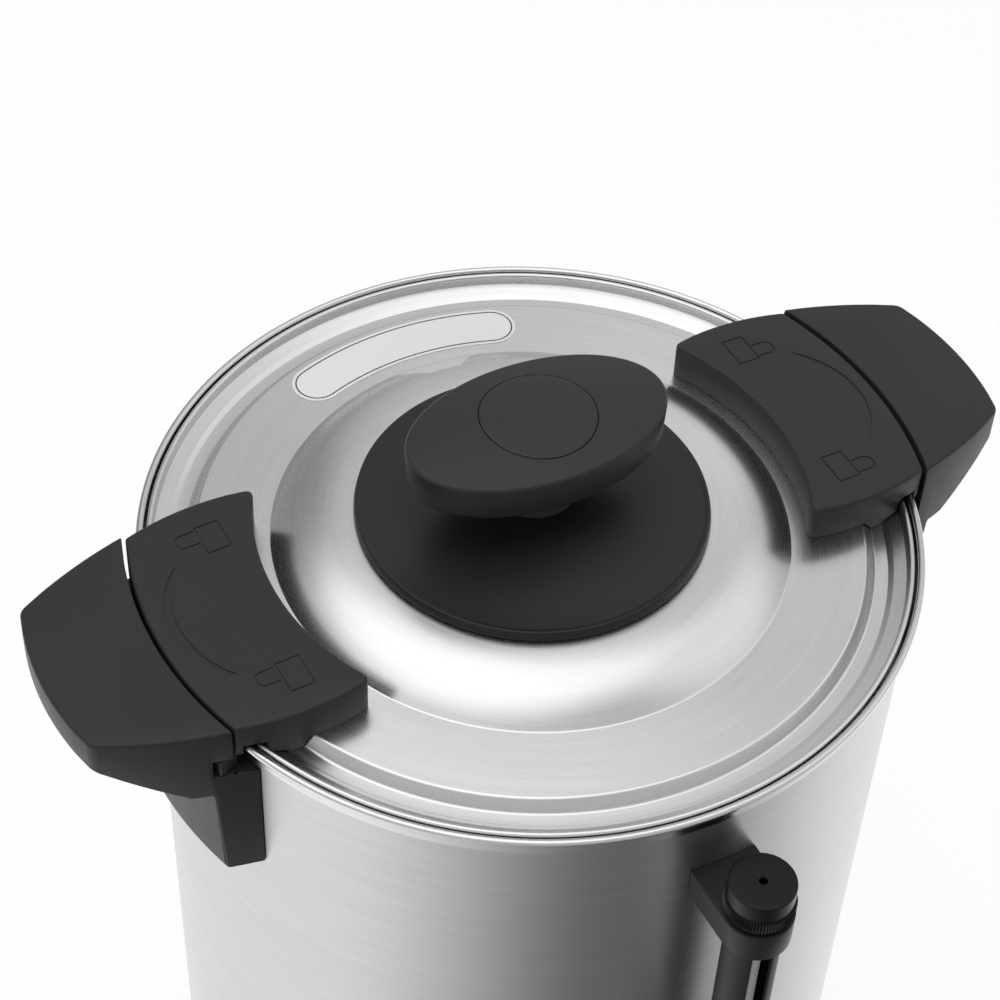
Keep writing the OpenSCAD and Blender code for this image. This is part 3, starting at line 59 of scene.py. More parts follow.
towards_eye = Vector((math.sin(view_turn) * math.cos(view_rise),
                      -math.cos(view_turn) * math.cos(view_rise), math.sin(view_rise)))
level_right = Vector((math.cos(view_turn), math.sin(view_turn), 0))
level_up = towards_eye.cross(level_right)
eye_right = level_right * math.cos(view_roll) + level_up * math.sin(view_roll)
eye_up = level_up * math.cos(view_roll) - level_right * math.sin(view_roll)

bpy.ops.object.select_all(action="DESELECT")
bpy.ops.object.camera_add()
camera = bpy.context.object
camera.name = "view_camera"
view_axes = Matrix((eye_right, eye_up, towards_eye)).transposed()
camera.matrix_world = Matrix.Translation(view_place) @ view_axes.to_4x4()
camera.data.sensor_width = 36
camera.data.lens = 87.43
camera.data.clip_start = 0.05
bpy.context.scene.camera = camera

# ---- studio ----------------------------------------------------------
# A white sweep under two large soft lamps. Steel sees other things than the camera does: a dark
# screen low in front, a dim stretch low behind, and a sky with three bright soft boxes, one
# overhead, one at the right and a low one behind at the right.
scene = bpy.context.scene
scene.view_settings.view_transform = "Standard"


class Wire:
    """A shader socket. Sums, products and comparisons of wires and numbers add Math nodes."""

    def __init__(self, tree, socket=None):
        self.tree = tree
        self.socket = socket

    def node(self, kind, settings=None, sockets=None, output=0):
        """Adds a node, sets it up, fills its sockets with values or wires, and gives one output."""
        added = self.tree.nodes.new("ShaderNode" + kind)
        for name, value in (settings or {}).items():
            setattr(added, name, value)
        for name, value in (sockets or {}).items():
            if isinstance(value, Wire):
                self.tree.links.new(value.socket, added.inputs[name])
            else:
                added.inputs[name].default_value = value
        return Wire(self.tree, added.outputs[output])

    def beside(self, output):
        """Another output of the same node."""
        return Wire(self.tree, self.socket.node.outputs[output])

    def math(self, operation, first, second=0.0, third=0.0):
        return self.node("Math", {"operation": operation}, {0: first, 1: second, 2: third})

    def __add__(self, other):
        return self.math("ADD", self, other)

    __radd__ = __add__

    def __sub__(self, other):
        return self.math("SUBTRACT", self, other)

    def __rsub__(self, other):
        return self.math("SUBTRACT", other, self)

    def __mul__(self, other):
        return self.math("MULTIPLY", self, other)

    __rmul__ = __mul__

    def __truediv__(self, other):
        return self.math("DIVIDE", self, other)

    def __rtruediv__(self, other):
        return self.math("DIVIDE", other, self)

    def __pow__(self, other):
        return self.math("POWER", self, other)

    def __rpow__(self, other):
        return self.math("POWER", other, self)

    def __lt__(self, other):
        return self.math("LESS_THAN", self, other)

    def __gt__(self, other):
        return self.math("GREATER_THAN", self, other)


def new_material(name):
    """An empty material and the wire that starts its nodes."""
    material = bpy.data.materials.new(name)
    material.use_nodes = True
    material.node_tree.nodes.clear()
    return material, Wire(material.node_tree)


def finish_material(start, surface):
    """Joins the surface to the material's output."""
    output = start.tree.nodes.new("ShaderNodeOutputMaterial")
    start.tree.links.new(surface.socket, output.inputs["Surface"])


def nearness(start, ray, turn, rise, outer, inner):
    """1 where a ray comes within the inner angle of a direction, 0 beyond the outer one; in degrees."""
    turn, rise = math.radians(turn), math.radians(rise)
    middle = (math.cos(turn) * math.cos(rise), math.sin(turn) * math.cos(rise), math.sin(rise))
    facing = start.node("VectorMath", {"operation": "DOT_PRODUCT"}, {0: ray, 1: middle}, "Value")
    return start.node("MapRange", {"interpolation_type": "SMOOTHSTEP"}, {
        "Value": facing, "From Min": math.cos(math.radians(outer)),
        "From Max": math.cos(math.radians(inner))})


floor_paint, paint = new_material("white_sweep")
paint_ray = paint.node("LightPath", output="Is Camera Ray")
in_steel = paint_ray.beside("Is Glossy Ray")
spot = paint.node("TexCoord", output="Object")
flat_spot = paint.node("VectorMath", {"operation": "MULTIPLY"}, {0: spot, 1: (1, 1, 0)})
outwards = paint.node("VectorMath", {"operation": "NORMALIZE"}, {0: flat_spot})
screen_turn, screen_reach = math.radians(-93), math.radians(78)
screen_middle = (math.cos(screen_turn), math.sin(screen_turn), 0)
facing_screen = paint.node("VectorMath", {"operation": "DOT_PRODUCT"}, {
    0: outwards, 1: screen_middle}, "Value")
glow = paint.node("MapRange", {"interpolation_type": "SMOOTHSTEP"}, {
    "Value": paint.math("ARCCOSINE", facing_screen), "From Min": 0.0, "From Max": screen_reach,
    "To Min": 0.16, "To Max": 1.2})
open_glow = 1.06
glow = in_steel * (glow - open_glow) + open_glow
matt_tone = paint_ray * 0.5 + 0.4
matt_white = paint.node("BsdfDiffuse", None, {
    "Color": paint.node("CombineColor", None, {0: matt_tone, 1: matt_tone, 2: matt_tone})})
even_white = paint.node("Emission", None, {"Color": (1, 1, 1, 1), "Strength": glow})
lit_share = paint.math("MAXIMUM", paint_ray * 0.85, in_steel)
finish_material(paint, paint.node("MixShader", None, {0: lit_share, 1: matt_white, 2: even_white}))

bpy.ops.object.select_all(action="DESELECT")
bpy.ops.mesh.primitive_plane_add(size=12)
sweep = bpy.context.object
sweep.name = "studio_floor"
sweep.data.materials.append(floor_paint)

world = bpy.data.worlds.new("studio")
scene.world = world
world.use_nodes = True
world.node_tree.nodes.clear()
air = Wire(world.node_tree)
air_ray = air.node("LightPath", output="Is Camera Ray")
white = air.math("MAXIMUM", air_ray, air_ray.beside("Is Transmission Ray"))
ray = air.node("TexCoord", output="Generated")
overhead_box = nearness(air, ray, turn=150, rise=78, outer=43, inner=20)
right_box = nearness(air, ray, turn=-15, rise=45, outer=35, inner=15)
low_box = nearness(air, ray, turn=57, rise=22, outer=34, inner=12)
dim_back = nearness(air, ray, turn=88, rise=10, outer=50, inner=20)
sky = overhead_box * 0.95 + 0.6 + right_box * 0.42 - dim_back * 0.3 + low_box * 0.3
steel_air = air.node("Background", None, {"Color": (1, 1, 1, 1), "Strength": sky})
white_air = air.node("Background", None, {"Color": (1, 1, 1, 1), "Strength": 1.0})
lit_air = air.node("Background", None, {"Color": (1, 1, 1, 1), "Strength": 0.33})
mixed_air = air.node("MixShader", None, {0: air_ray.beside("Is Glossy Ray"), 1: lit_air, 2: steel_air})
mixed_air = air.node("MixShader", None, {0: white, 1: mixed_air, 2: white_air})
air_output = world.node_tree.nodes.new("ShaderNodeOutputWorld")
world.node_tree.links.new(mixed_air.socket, air_output.inputs["Surface"])


def soft_lamp(name, place, target, size, watts):
    """A square softbox that points at a target and leaves no reflection of its own."""
    bpy.ops.object.select_all(action="DESELECT")
    bpy.ops.object.light_add(type="AREA", location=place)
    lamp = bpy.context.object
    lamp.name = name
    lamp.data.shape = "SQUARE"
    lamp.data.size = size
    lamp.data.energy = watts
    lamp.rotation_euler = (Vector(target) - Vector(place)).to_track_quat("-Z", "Y").to_euler()
    lamp.visible_glossy = False


lid_middle = (0, 0, rim_z)
soft_lamp("key_softbox", (-0.35, 0.1, rim_z + 1.8), lid_middle, size=1.5, watts=20)
soft_lamp("fill_softbox", (-0.9, -1.3, rim_z + 0.9), lid_middle, size=1.0, watts=3)

# ---- outer shell -----------------------------------------------------
# A sleeve of 0.8 mm stainless sheet, brushed round the body and welded up the back. It stands in
# the base's groove, and the rim's collar closes it at the top.
MM = 0.001
hair = MM / 1000
shell_low, shell_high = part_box("outer_shell")
shell_r = shell_high.x
shell_sheet = 0.8 * MM


def drawn_line(name, points):
    """A line through points, drawn by extruding one vertex. It stays in edit mode."""
    bpy.ops.object.select_all(action="DESELECT")
    bpy.ops.mesh.primitive_plane_add(size=MM)
    piece = bpy.context.object
    piece.name = name
    bpy.ops.object.mode_set(mode="EDIT")
    bpy.ops.mesh.merge(type="CENTER")
    bpy.ops.transform.translate(value=points[0])
    for here, there in zip(points, points[1:]):
        step = [b - a for a, b in zip(here, there)]
        bpy.ops.mesh.extrude_region_move(TRANSFORM_OT_translate={"value": step})
    bpy.ops.mesh.select_all(action="SELECT")
    return piece


def softened(outline, closed=False):
    """An outline whose corners are rounded where a point has a third value, the rounding's radius."""
    count = len(outline)
    points = []
    for i, corner in enumerate(outline):
        if len(corner) < 3 or (not closed and i in (0, count - 1)):
            points.append(tuple(corner[:2]))
            continue
        here = Vector(corner[:2])
        before = Vector(outline[i - 1][:2]) - here
        after = Vector(outline[(i + 1) % count][:2]) - here
        reach = min(corner[2] / math.tan(before.angle(after) / 2),
                    before.length * 0.49, after.length * 0.49)
        first, last = here + before.normalized() * reach, here + after.normalized() * reach
        for k in range(7):
            t = k / 6
            points.append(tuple(first * (1 - t) ** 2 + here * 2 * t * (1 - t) + last * t ** 2))
    return points


def turned(name, outline, steps=192, around=(0, 0)):
    """A lathe form: a line through (radius, height) points is drawn and spun round an upright axis."""
    piece = drawn_line(name, [(r, 0, z) for r, z in outline])
    bpy.ops.mesh.spin(steps=steps, angle=2 * math.pi, center=(0, 0, 0), axis=(0, 0, 1))
    bpy.ops.mesh.select_all(action="SELECT")
    bpy.ops.mesh.remove_doubles(threshold=hair)
    bpy.ops.mesh.normals_make_consistent(inside=False)
    bpy.ops.transform.translate(value=(*around, 0))
    bpy.ops.object.mode_set(mode="OBJECT")
    return piece


def select_only(piece):
    """Selects one piece alone and makes it the active one."""
    bpy.ops.object.select_all(action="DESELECT")
    piece.select_set(True)
    bpy.context.view_layer.objects.active = piece


def smooth(piece, degrees=30):
    """Shades a piece smooth, apart from edges sharper than the angle."""
    select_only(piece)
    bpy.ops.object.shade_smooth_by_angle(angle=math.radians(degrees))


def fit_piece(piece, material, body, slot, *nodes):
    """Gives a finished piece its material and body, and hides the CAD nodes it stands for. The slot is not
    used.
    """
    piece.data.materials.clear()
    piece.data.materials.append(material)
    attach(piece, body)
    if nodes:
        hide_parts(*nodes)


def noise(place, scale, detail, rough=0.5):
    """Cloudy noise over a place. It is 0.5 on average."""
    return place.node("TexNoise", None, {
        "Vector": place, "Scale": scale, "Detail": detail, "Roughness": rough})


def brushed_steel(name, grey, rough, stretch, across_z, weld=0.0):
    """Stainless sheet, scratched round the Z axis in steps of radius or height, with a weld behind."""
    material, start = new_material(name)
    place = start.node("TexCoord", output="Object")
    x = start.node("SeparateXYZ", None, {0: place})
    y, z = x.beside("Y"), x.beside("Z")
    radius = (x * x + y * y) ** 0.5
    across = z if across_z else radius
    around_x, around_y = x / (radius + MM), y / (radius + MM)
    lengthwise = start.node("CombineXYZ", None, {0: around_x * 1.6, 1: around_y * 1.6, 2: across * 2600})
    scratches = noise(lengthwise, 1.0, 4.0, 0.65)
    broad = start.node("CombineXYZ", None, {0: around_x * 2.5, 1: around_y * 2.5, 2: across * 320})
    bands = noise(broad, 1.0, 3.0, 0.6)
    cloud = noise(place, 14.0, 3.0)
    tone = (scratches - 0.5) * 0.10 + (bands - 0.5) * 0.10 + (cloud - 0.5) * 0.03 + grey
    colour = start.node("CombineColor", None, {0: tone, 1: tone, 2: tone * 1.005})
    seam = (start.math("ABSOLUTE", x) < 0.0006) * (y > 0.05) * weld
    height = scratches * 0.7 + bands * 0.3 - seam * 3
    bump = start.node("Bump", None, {"Strength": 0.25, "Distance": 0.00004, "Height": height})
    dull = (scratches - 0.5) * 0.12 + (cloud - 0.5) * 0.06 + rough
    skin = start.node("BsdfPrincipled", None, {
        "Base Color": colour, "Metallic": 1.0, "Roughness": dull,
        "Anisotropic": stretch, "Anisotropic Rotation": 0.25, "Normal": bump})
    finish_material(start, skin)
    return material


shell_steel = brushed_steel("shell_brushed_steel", grey=0.6, rough=0.34, stretch=0.7, across_z=True,
                            weld=1.0)
shell = turned("outer_shell_sleeve", [
    (shell_r, shell_low.z), (shell_r, shell_high.z - 0.3 * MM), (shell_r - 0.3 * MM, shell_high.z),
    (shell_r - shell_sheet, shell_high.z), (shell_r - shell_sheet, shell_low.z), (shell_r, shell_low.z)])
smooth(shell)
fit_piece(shell, shell_steel, "urn", "shell", "outer_shell")

# ---- vessel and rim --------------------------------------------------
# The inner vessel is deep-drawn. Its mouth steps out to a seat for the lid, turns up as a collar
# that covers the shell's edge, and ends in a rolled bead.
vessel_low, vessel_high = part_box("inner_vessel")
rim_r = vessel_high.x
bead_r = 1.5 * MM
collar_r = shell_r + 0.8 * MM
collar_in_r = collar_r - shell_sheet
wall_r = shell_r - shell_sheet - 7 * MM
seat_z = rim_z - 8.4 * MM
well_z = vessel_low.z + shell_sheet
floor_z = well_z + 6 * MM
floor_round = 12 * MM
well_r = 37 * MM
collar_z = shell_high.z + 0.3 * MM


def arc(centre, radius, start_degrees, end_degrees, steps=12):
    """Points of an arc in an outline."""
    turns = [math.radians(start_degrees + (end_degrees - start_degrees) * i / steps)
             for i in range(steps + 1)]
    return [(centre[0] + radius * math.cos(a), centre[1] + radius * math.sin(a)) for a in turns]


inside_r = wall_r - shell_sheet
vessel_outline = (
    [(0, well_z), (well_r, well_z), (well_r, floor_z)]
    + arc((inside_r - floor_round, floor_z + floor_round), floor_round, -90, 0)
    + [(inside_r, seat_z)]
    + [(collar_in_r - 0.8 * MM, seat_z), (collar_in_r, seat_z + 0.8 * MM)]
    + arc((rim_r - bead_r, rim_z - bead_r), bead_r, 180, -100, 20)
    + [(collar_r, rim_z - 3.2 * MM), (collar_r, collar_z), (wall_r, collar_z)]
    + arc((inside_r - floor_round, floor_z + floor_round), floor_round + shell_sheet, 0, -90)
    + [(well_r + shell_sheet, floor_z - shell_sheet), (well_r + shell_sheet, vessel_low.z),
       (0, vessel_low.z)])
rim_steel = brushed_steel("rim_drawn_steel", grey=0.68, rough=0.2, stretch=0.5, across_z=True)
vessel = turned("vessel_with_rolled_rim", vessel_outline)
smooth(vessel)
fit_piece(vessel, rim_steel, "urn", "vessel", "inner_vessel")

# ---- base ------------------------------------------------------------
# A black moulded housing with a lip round the shell's foot, closed below by a galvanised sheet.
# Four rubber feet on threaded studs hold both together.


def merge_slivers(piece, gap):
    """Merges points closer than a gap and makes flat faces whole, so that edges can be rounded."""
    select_only(piece)
    bpy.ops.object.mode_set(mode="EDIT")
    bpy.ops.mesh.select_all(action="SELECT")
    bpy.ops.mesh.remove_doubles(threshold=gap)
    bpy.ops.mesh.dissolve_limited(angle_limit=math.radians(0.6))
    bpy.ops.object.mode_set(mode="OBJECT")


def cad_copy(name, node):
    """A copy of a CAD node, with its loose triangles merged."""
    piece = bpy.data.objects.new(name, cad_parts[node].data.copy())
    scene.collection.objects.link(piece)
    merge_slivers(piece, hair)
    return piece


def round_edges(piece, width, degrees=40, segments=3, clamp=True):
    """Rounds every edge of a piece that is sharper than the angle, then shades it smooth."""
    select_only(piece)
    rounding = piece.modifiers.new("rounding", "BEVEL")
    rounding.width = width
    rounding.segments = segments
    rounding.limit_method = "ANGLE"
    rounding.angle_limit = math.radians(degrees)
    rounding.use_clamp_overlap = clamp
    bpy.ops.object.modifier_apply(modifier=rounding.name)
    smooth(piece, 28)


def rounded_copy(name, node, width, material, slot, body="urn"):
    """A piece in a CAD node's shape and place, its sharp edges rounded by a width in millimetres."""
    piece = cad_copy(name, node)
    round_edges(piece, width * MM)
    fit_piece(piece, material, body, slot, node)


def tinted(shade, lift):
    """A colour made lighter and darker by a wire."""
    even = lift.node("CombineColor", None, {0: lift, 1: lift, 2: lift})
    return lift.node("Mix", {"data_type": "RGBA", "blend_type": "MULTIPLY"}, {
        "Factor": 1.0, 6: (*shade, 1), 7: even}, 2)


def moulded(name, shade, rough, grain=2600, depth=0.00003, mottle=0.16, metal=0.0, shine=0.3):
    """A moulded or cast skin: fine texture of the mould, faint flow marks and a slight change of gloss."""
    material, start = new_material(name)
    place = start.node("TexCoord", output="Object")
    pores, flow = noise(place, grain, 3.0, 0.6), noise(place, 28.0, 4.0, 0.55)
    wear = noise(place, 220.0, 3.0, 0.6)
    colour = tinted(shade, (pores - 0.5) * mottle + (flow - 0.5) * mottle * 0.8 + 1)
    bump = start.node("Bump", None, {
        "Strength": 0.5, "Distance": depth, "Height": pores + (wear - 0.5) * 0.4})
    skin = start.node("BsdfPrincipled", None, {
        "Base Color": colour, "Metallic": metal, "Normal": bump, "Specular IOR Level": shine,
        "Roughness": (wear - 0.5) * 0.1 + (pores - 0.5) * 0.08 + rough})
    finish_material(start, skin)
    return material


def paint_node(node, material):
    """Gives a CAD node that keeps its own shape a material."""
    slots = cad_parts[node].data.materials
    slots.clear()
    slots.append(material)


base_plastic = moulded("base_black_plastic", (0.02, 0.02, 0.0205), 0.48)
rounded_copy("base_moulding", "base_housing", 0.8, base_plastic, "base")

zinc = moulded("galvanised_sheet", (0.33, 0.34, 0.35), 0.42, grain=300, depth=0.00001, mottle=0.3,
               metal=1.0)
rounded_copy("bottom_sheet", "bottom_cover", 0.3, zinc, "cover")

foot_rubber = moulded("foot_rubber", (0.018, 0.018, 0.018), 0.75, grain=1500, depth=0.00005)
rounded_copy("rubber_feet", "feet", 1.5, foot_rubber, "foot")

plated = moulded("zinc_plated_steel", (0.62, 0.62, 0.63), 0.26, grain=900, depth=0.000006,
                 mottle=0.12, metal=1.0)
rounded_copy("foot_threads", "foot_studs", 0.4, plated, "fastener")
rounded_copy("stud_nuts", "foot_nuts", 0.4, plated, "fastener")
rounded_copy("lip_screws", "base_screws", 0.5, plated, "fastener")

# ---- heater ----------------------------------------------------------
# A ring element cast in aluminium lies under the vessel's floor. The brown phenolic thermostat
# and the ceramic thermal cut-out are clipped to it.
cast_metal = moulded("cast_aluminium", (0.5, 0.5, 0.51), 0.5, grain=700, depth=0.00006,
                     mottle=0.25, metal=1.0)
rounded_copy("ring_element", "ring_heater", 0.8, cast_metal, "heater")
brown_resin = moulded("brown_phenolic", (0.16, 0.07, 0.03), 0.45, grain=1100, mottle=0.3)
rounded_copy("thermostat_can", "thermostat", 0.5, brown_resin, "phenolic")
pale_ceramic = moulded("pale_ceramic", (0.68, 0.63, 0.52), 0.5, grain=900, mottle=0.18)
rounded_copy("cutout_can", "thermal_cutout", 0.5, pale_ceramic, "ceramic_body")

# ---- power inlet -----------------------------------------------------
# A three-pole socket moulded in black nylon, with brass blades. It sits in the pad behind, and
# two plated screws hold its flange.
nylon = moulded("black_nylon", (0.014, 0.014, 0.015), 0.38, grain=2000)
rounded_copy("mains_socket", "power_inlet", 0.4, nylon, "inlet")
brass = moulded("brass_blades", (0.72, 0.52, 0.2), 0.25, grain=1500, depth=0.000005,
                mottle=0.15, metal=1.0)
rounded_copy("mains_blades", "inlet_pins", 0.3, brass, "pins")
rounded_copy("flange_screws", "inlet_screws", 0.4, plated, "fastener")

# ---- switch and lamps ------------------------------------------------
# A rocker switch between two pilot lamps. The switch is black plastic with a red cap, and snaps
# into the base. The lamps' lenses are tinted acrylic.
switch_plastic = moulded("switch_black_plastic", (0.012, 0.012, 0.012), 0.25, grain=1800, depth=0.00001)
rounded_copy("switch_bezel", "switch_body", 0.5, switch_plastic, "switch")
rocker_plastic = moulded("rocker_red_plastic", (0.3, 0.012, 0.01), 0.28, grain=1800, depth=0.00001)
rounded_copy("switch_rocker_cap", "rocker", 0.6, rocker_plastic, "rocker", body="rocker")


def lens_acrylic(name, shade):
    """Tinted acrylic with fine ribs inside, seen as a slight change of tone."""
    material, start = new_material(name)
    place = start.node("TexCoord", output="Object")
    ribs = start.node("TexWave", {"wave_type": "BANDS", "bands_direction": "X"}, {
        "Vector": place, "Scale": 180.0, "Distortion": 0.0, "Detail": 0.0}, 1)
    haze = noise(place, 300.0, 2.0)
    colour = tinted(shade, ribs * 0.35 + haze * 0.1 + 0.7)
    skin = start.node("BsdfPrincipled", None, {
        "Base Color": colour, "Roughness": haze * 0.1 + 0.08, "Coat Weight": 0.6,
        "Normal": start.node("Bump", None, {"Strength": 0.3, "Distance": 0.0001, "Height": ribs})})
    finish_material(start, skin)
    return material


for tint, shade in (("red", (0.5, 0.01, 0.008)), ("green", (0.01, 0.3, 0.03))):
    lens = lens_acrylic(tint + "_lens", shade)
    rounded_copy(tint + "_pilot_lamp", tint + "_lamp", 0.3, lens, tint + "_lens")

# ---- handles ---------------------------------------------------------
# Two moulded handles of dark grey nylon with a fine satin texture. The wing is for lifting, and
# the leg is screwed to the shell from inside. A slot in the root takes the lid's hook.


def plate(name, outline, low, high, upright=True):
    """A flat outline drawn as a line, filled and extruded: along Z, or along Y if it isn't upright."""
    points = [(u, v, low) if upright else (u, low, v) for u, v in outline + outline[:1]]
    piece = drawn_line(name, points)
    bpy.ops.mesh.remove_doubles(threshold=hair)
    bpy.ops.mesh.edge_face_add()
    rise = (0, 0, high - low) if upright else (0, high - low, 0)
    bpy.ops.mesh.extrude_region_move(TRANSFORM_OT_translate={"value": rise})
    bpy.ops.mesh.select_all(action="SELECT")
    bpy.ops.mesh.normals_make_consistent(inside=False)
    bpy.ops.object.mode_set(mode="OBJECT")
    return piece


def carve(piece, tool, operation="DIFFERENCE"):
    """Cuts, joins or trims a piece with a tool, which is then thrown away."""
    select_only(piece)
    cut = piece.modifiers.new("cut", "BOOLEAN")
    cut.operation = operation
    cut.solver = "EXACT"
    cut.object = tool
    bpy.ops.object.modifier_apply(modifier=cut.name)
    bpy.data.objects.remove(tool)


def bowed(start, end, bow, steps=14):
    """Points of an arc from start to end that bows out to the left of the way by a distance."""
    a, b = Vector(start), Vector(end)
    chord = b - a
    radius = (chord.length ** 2 / 4 + bow ** 2) / (2 * bow)
    out = Vector((-chord.y, chord.x)).normalized()
    centre = (a + b) / 2 - out * (radius - bow)
    half = math.asin(chord.length / 2 / radius)
    middle = math.atan2(out.y, out.x)
    return [(centre.x + radius * math.cos(middle + half - 2 * half * i / steps),
             centre.y + radius * math.sin(middle + half - 2 * half * i / steps)) for i in range(steps + 1)]


def half_turned(name, piece):
    """A copy of a piece with its own mesh, turned half a turn round the Z axis."""
    select_only(piece)
    bpy.ops.object.duplicate()
    other = bpy.context.object
    other.name = name
    bpy.ops.object.mode_set(mode="EDIT")
    bpy.ops.mesh.select_all(action="SELECT")
    bpy.ops.transform.rotate(value=math.pi, orient_axis="Z", center_override=(0, 0, 0))
    bpy.ops.object.mode_set(mode="OBJECT")
    return other


def pick(piece, wanted, kind="VERT"):
    """Selects the vertices or the faces of a piece that pass a test, and stays in edit mode."""
    select_only(piece)
    bpy.ops.object.mode_set(mode="EDIT")
    bpy.ops.mesh.select_mode(type=kind)
    bpy.ops.mesh.select_all(action="DESELECT")
    bpy.ops.object.mode_set(mode="OBJECT")
    for element in piece.data.vertices if kind == "VERT" else piece.data.polygons:
        element.select = wanted(element)
    bpy.ops.object.mode_set(mode="EDIT")


def cushioned(name, outline, low, high, soft):
    """A plate whose upper edge is rounded, by insets of its top face that each rise a little less."""
    piece = plate(name, outline, low, high - soft)
    pick(piece, lambda face: face.normal.z > 0.5, "FACE")
    for a in range(0, 90, 15):
        here, there = math.radians(a), math.radians(a + 15)
        bpy.ops.mesh.inset(thickness=soft * (math.cos(here) - math.cos(there)),
                           depth=soft * (math.sin(there) - math.sin(here)))
    bpy.ops.object.mode_set(mode="OBJECT")
    return piece


def sloped(piece, above, pivot):
    """Turns the part of a piece above a height a little round Y, so that its top falls outwards."""
    pick(piece, lambda vertex: vertex.co.z > above)
    bpy.ops.transform.rotate(value=-top_fall, orient_axis="Y", center_override=pivot)
    bpy.ops.object.mode_set(mode="OBJECT")


ear_in_r, ear_out_r = 103.4 * MM, rim_r + 2.8 * MM
grip_top = rim_z + 12.2 * MM
top_fall = math.radians(1.8)
wing_in_r = ear_out_r + 1.3 * MM
leg_in_r, leg_r = shell_r + 0.2 * MM, shell_r + 11.9 * MM
leg_top_r = leg_r + 2.1 * MM
wing_corner = Vector((wing_in_r * math.cos(math.asin(50.5 * MM / wing_in_r)), 50.5 * MM))
end_corner = Vector((rim_r + 40.5 * MM, 34 * MM))
end_x = end_corner.x + 5 * MM
slot_floor, slot_roof = rim_z - 12.5 * MM, rim_z - 4 * MM
leg_z = rim_z - 66 * MM
root_z = rim_z - 22.5 * MM
end_z = grip_top - (end_corner.x - ear_in_r) * math.tan(top_fall) - 14 * MM
top_soft, end_soft = 1.4 * MM, 6 * MM
tool_in_r, tool_half, tool_top = 100 * MM, 80 * MM, rim_z + 50 * MM
core_low, core_high = 300 * MM, 600 * MM
fine_steps = 240

side_arc = bowed(wing_corner, end_corner, 1.7 * MM)
inward = (Vector(side_arc[0]) - Vector(side_arc[1])).normalized() * 30 * MM
root = Vector(side_arc[0]) + inward
end_arc = bowed(end_corner, (end_corner.x, -end_corner.y), 5 * MM)
plan = [tuple(root)] + side_arc[:-3] + [(*end_corner, end_soft)] + end_arc[2:-2]
plan += [(end_corner.x, -end_corner.y, end_soft)] + [(x, -y) for x, y in reversed(side_arc[:-3])]
plan += [(root.x, -root.y)]
handle = cushioned("right_moulded_handle", softened(plan), leg_z, grip_top, top_soft)
sloped(handle, rim_z, (ear_in_r, 0, grip_top))

body = plate("handle_side_view", [
    (tool_in_r, tool_top), (end_x + MM, tool_top), (end_x + MM, end_z), (end_corner.x, end_z),
    (leg_top_r, root_z), (tool_in_r, root_z)], -tool_half, tool_half, upright=False)
leg = turned("handle_leg_ring", softened([
    (tool_in_r, leg_z), (leg_r, leg_z, 1.6 * MM), (leg_top_r, root_z, 5 * MM),
    (leg_top_r + 5 * MM, root_z + 3 * MM), (tool_in_r, root_z + 3 * MM), (tool_in_r, leg_z)]), fine_steps)
carve(body, leg, "UNION")
carve(handle, body, "INTERSECT")
core = turned("handle_core", [
    (0, core_low), (leg_in_r, core_low), (leg_in_r, slot_floor), (wing_in_r, slot_floor),
    (wing_in_r, core_high), (0, core_high)], fine_steps)
carve(handle, core)


def polar(r, turn):
    """The point at a distance and a turn from the urn's axis."""
    return (r * math.cos(turn), r * math.sin(turn))


slot_turn = math.radians(8)
slot_r = ear_out_r + 7.5 * MM
slot_turns = [slot_turn + i * 0.06 for i in range(16)]
slot_plan = [polar(slot_r, turn) for turn in slot_turns]
slot_plan += [polar(tool_in_r, turn) for turn in (slot_turns[-1], slot_turn)]
carve(handle, plate("hook_slot", slot_plan, slot_floor, slot_roof))
round_edges(handle, 0.7 * MM, 38, clamp=False)

handle_plastic = moulded("handle_grey_nylon", (0.023, 0.023, 0.0235), 0.46, grain=2400, depth=0.00004)
fit_piece(handle, handle_plastic, "urn", "handle", "right_handle")
left_handle = half_turned("left_moulded_handle", handle)
fit_piece(left_handle, handle_plastic, "urn", "handle", "left_handle")
paint_node("handle_screws", plated)

# ---- sight gauge -----------------------------------------------------
# A glass tube stands between the tap's tee and a moulded bracket. A white strip down its front is a
# painted highlight of the glass. A slotted tube shields it, and a knurled screw cap with a breather
# hole closes it.
gauge_y = -(shell_r + 22.9 * MM)
cap_low, cap_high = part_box("gauge_cap")
cap_top = cap_high.z
gauge_plastic = moulded("gauge_dark_plastic", (0.02, 0.02, 0.0205), 0.42)
rounded_copy("gauge_top_bracket", "gauge_bracket", 0.6, gauge_plastic, "gauge")

cap_side_r, knurl_r = 11.9 * MM, cap_high.x
knurl_top = cap_top - 8 * MM
neck_z = knurl_top - 5.5 * MM
bracket_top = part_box("gauge_bracket")[1].z
cap_steps = 144
thread_in_r, thread_r, breather_r = 5.6 * MM, 8 * MM, 1.5 * MM
knurl_in_r, knurl_soft = knurl_r - MM, 0.6 * MM
cap = turned("knurled_cap", softened([
    (thread_in_r, cap_low.z), (thread_r, cap_low.z), (thread_r, bracket_top), (knurl_in_r, bracket_top),
    (knurl_in_r, neck_z), (knurl_r - knurl_soft, neck_z), (knurl_r, neck_z + knurl_soft),
    (knurl_r, knurl_top - knurl_soft), (knurl_r - knurl_soft, knurl_top), (cap_side_r, knurl_top),
    (cap_side_r, knurl_top + 0.8 * MM), (cap_side_r, cap_top, 0.8 * MM), (breather_r, cap_top, 0.3 * MM),
    (breather_r, cap_top - 3 * MM), (thread_in_r, cap_top - 5 * MM), (thread_in_r, cap_low.z)]),
    cap_steps, (0, gauge_y))


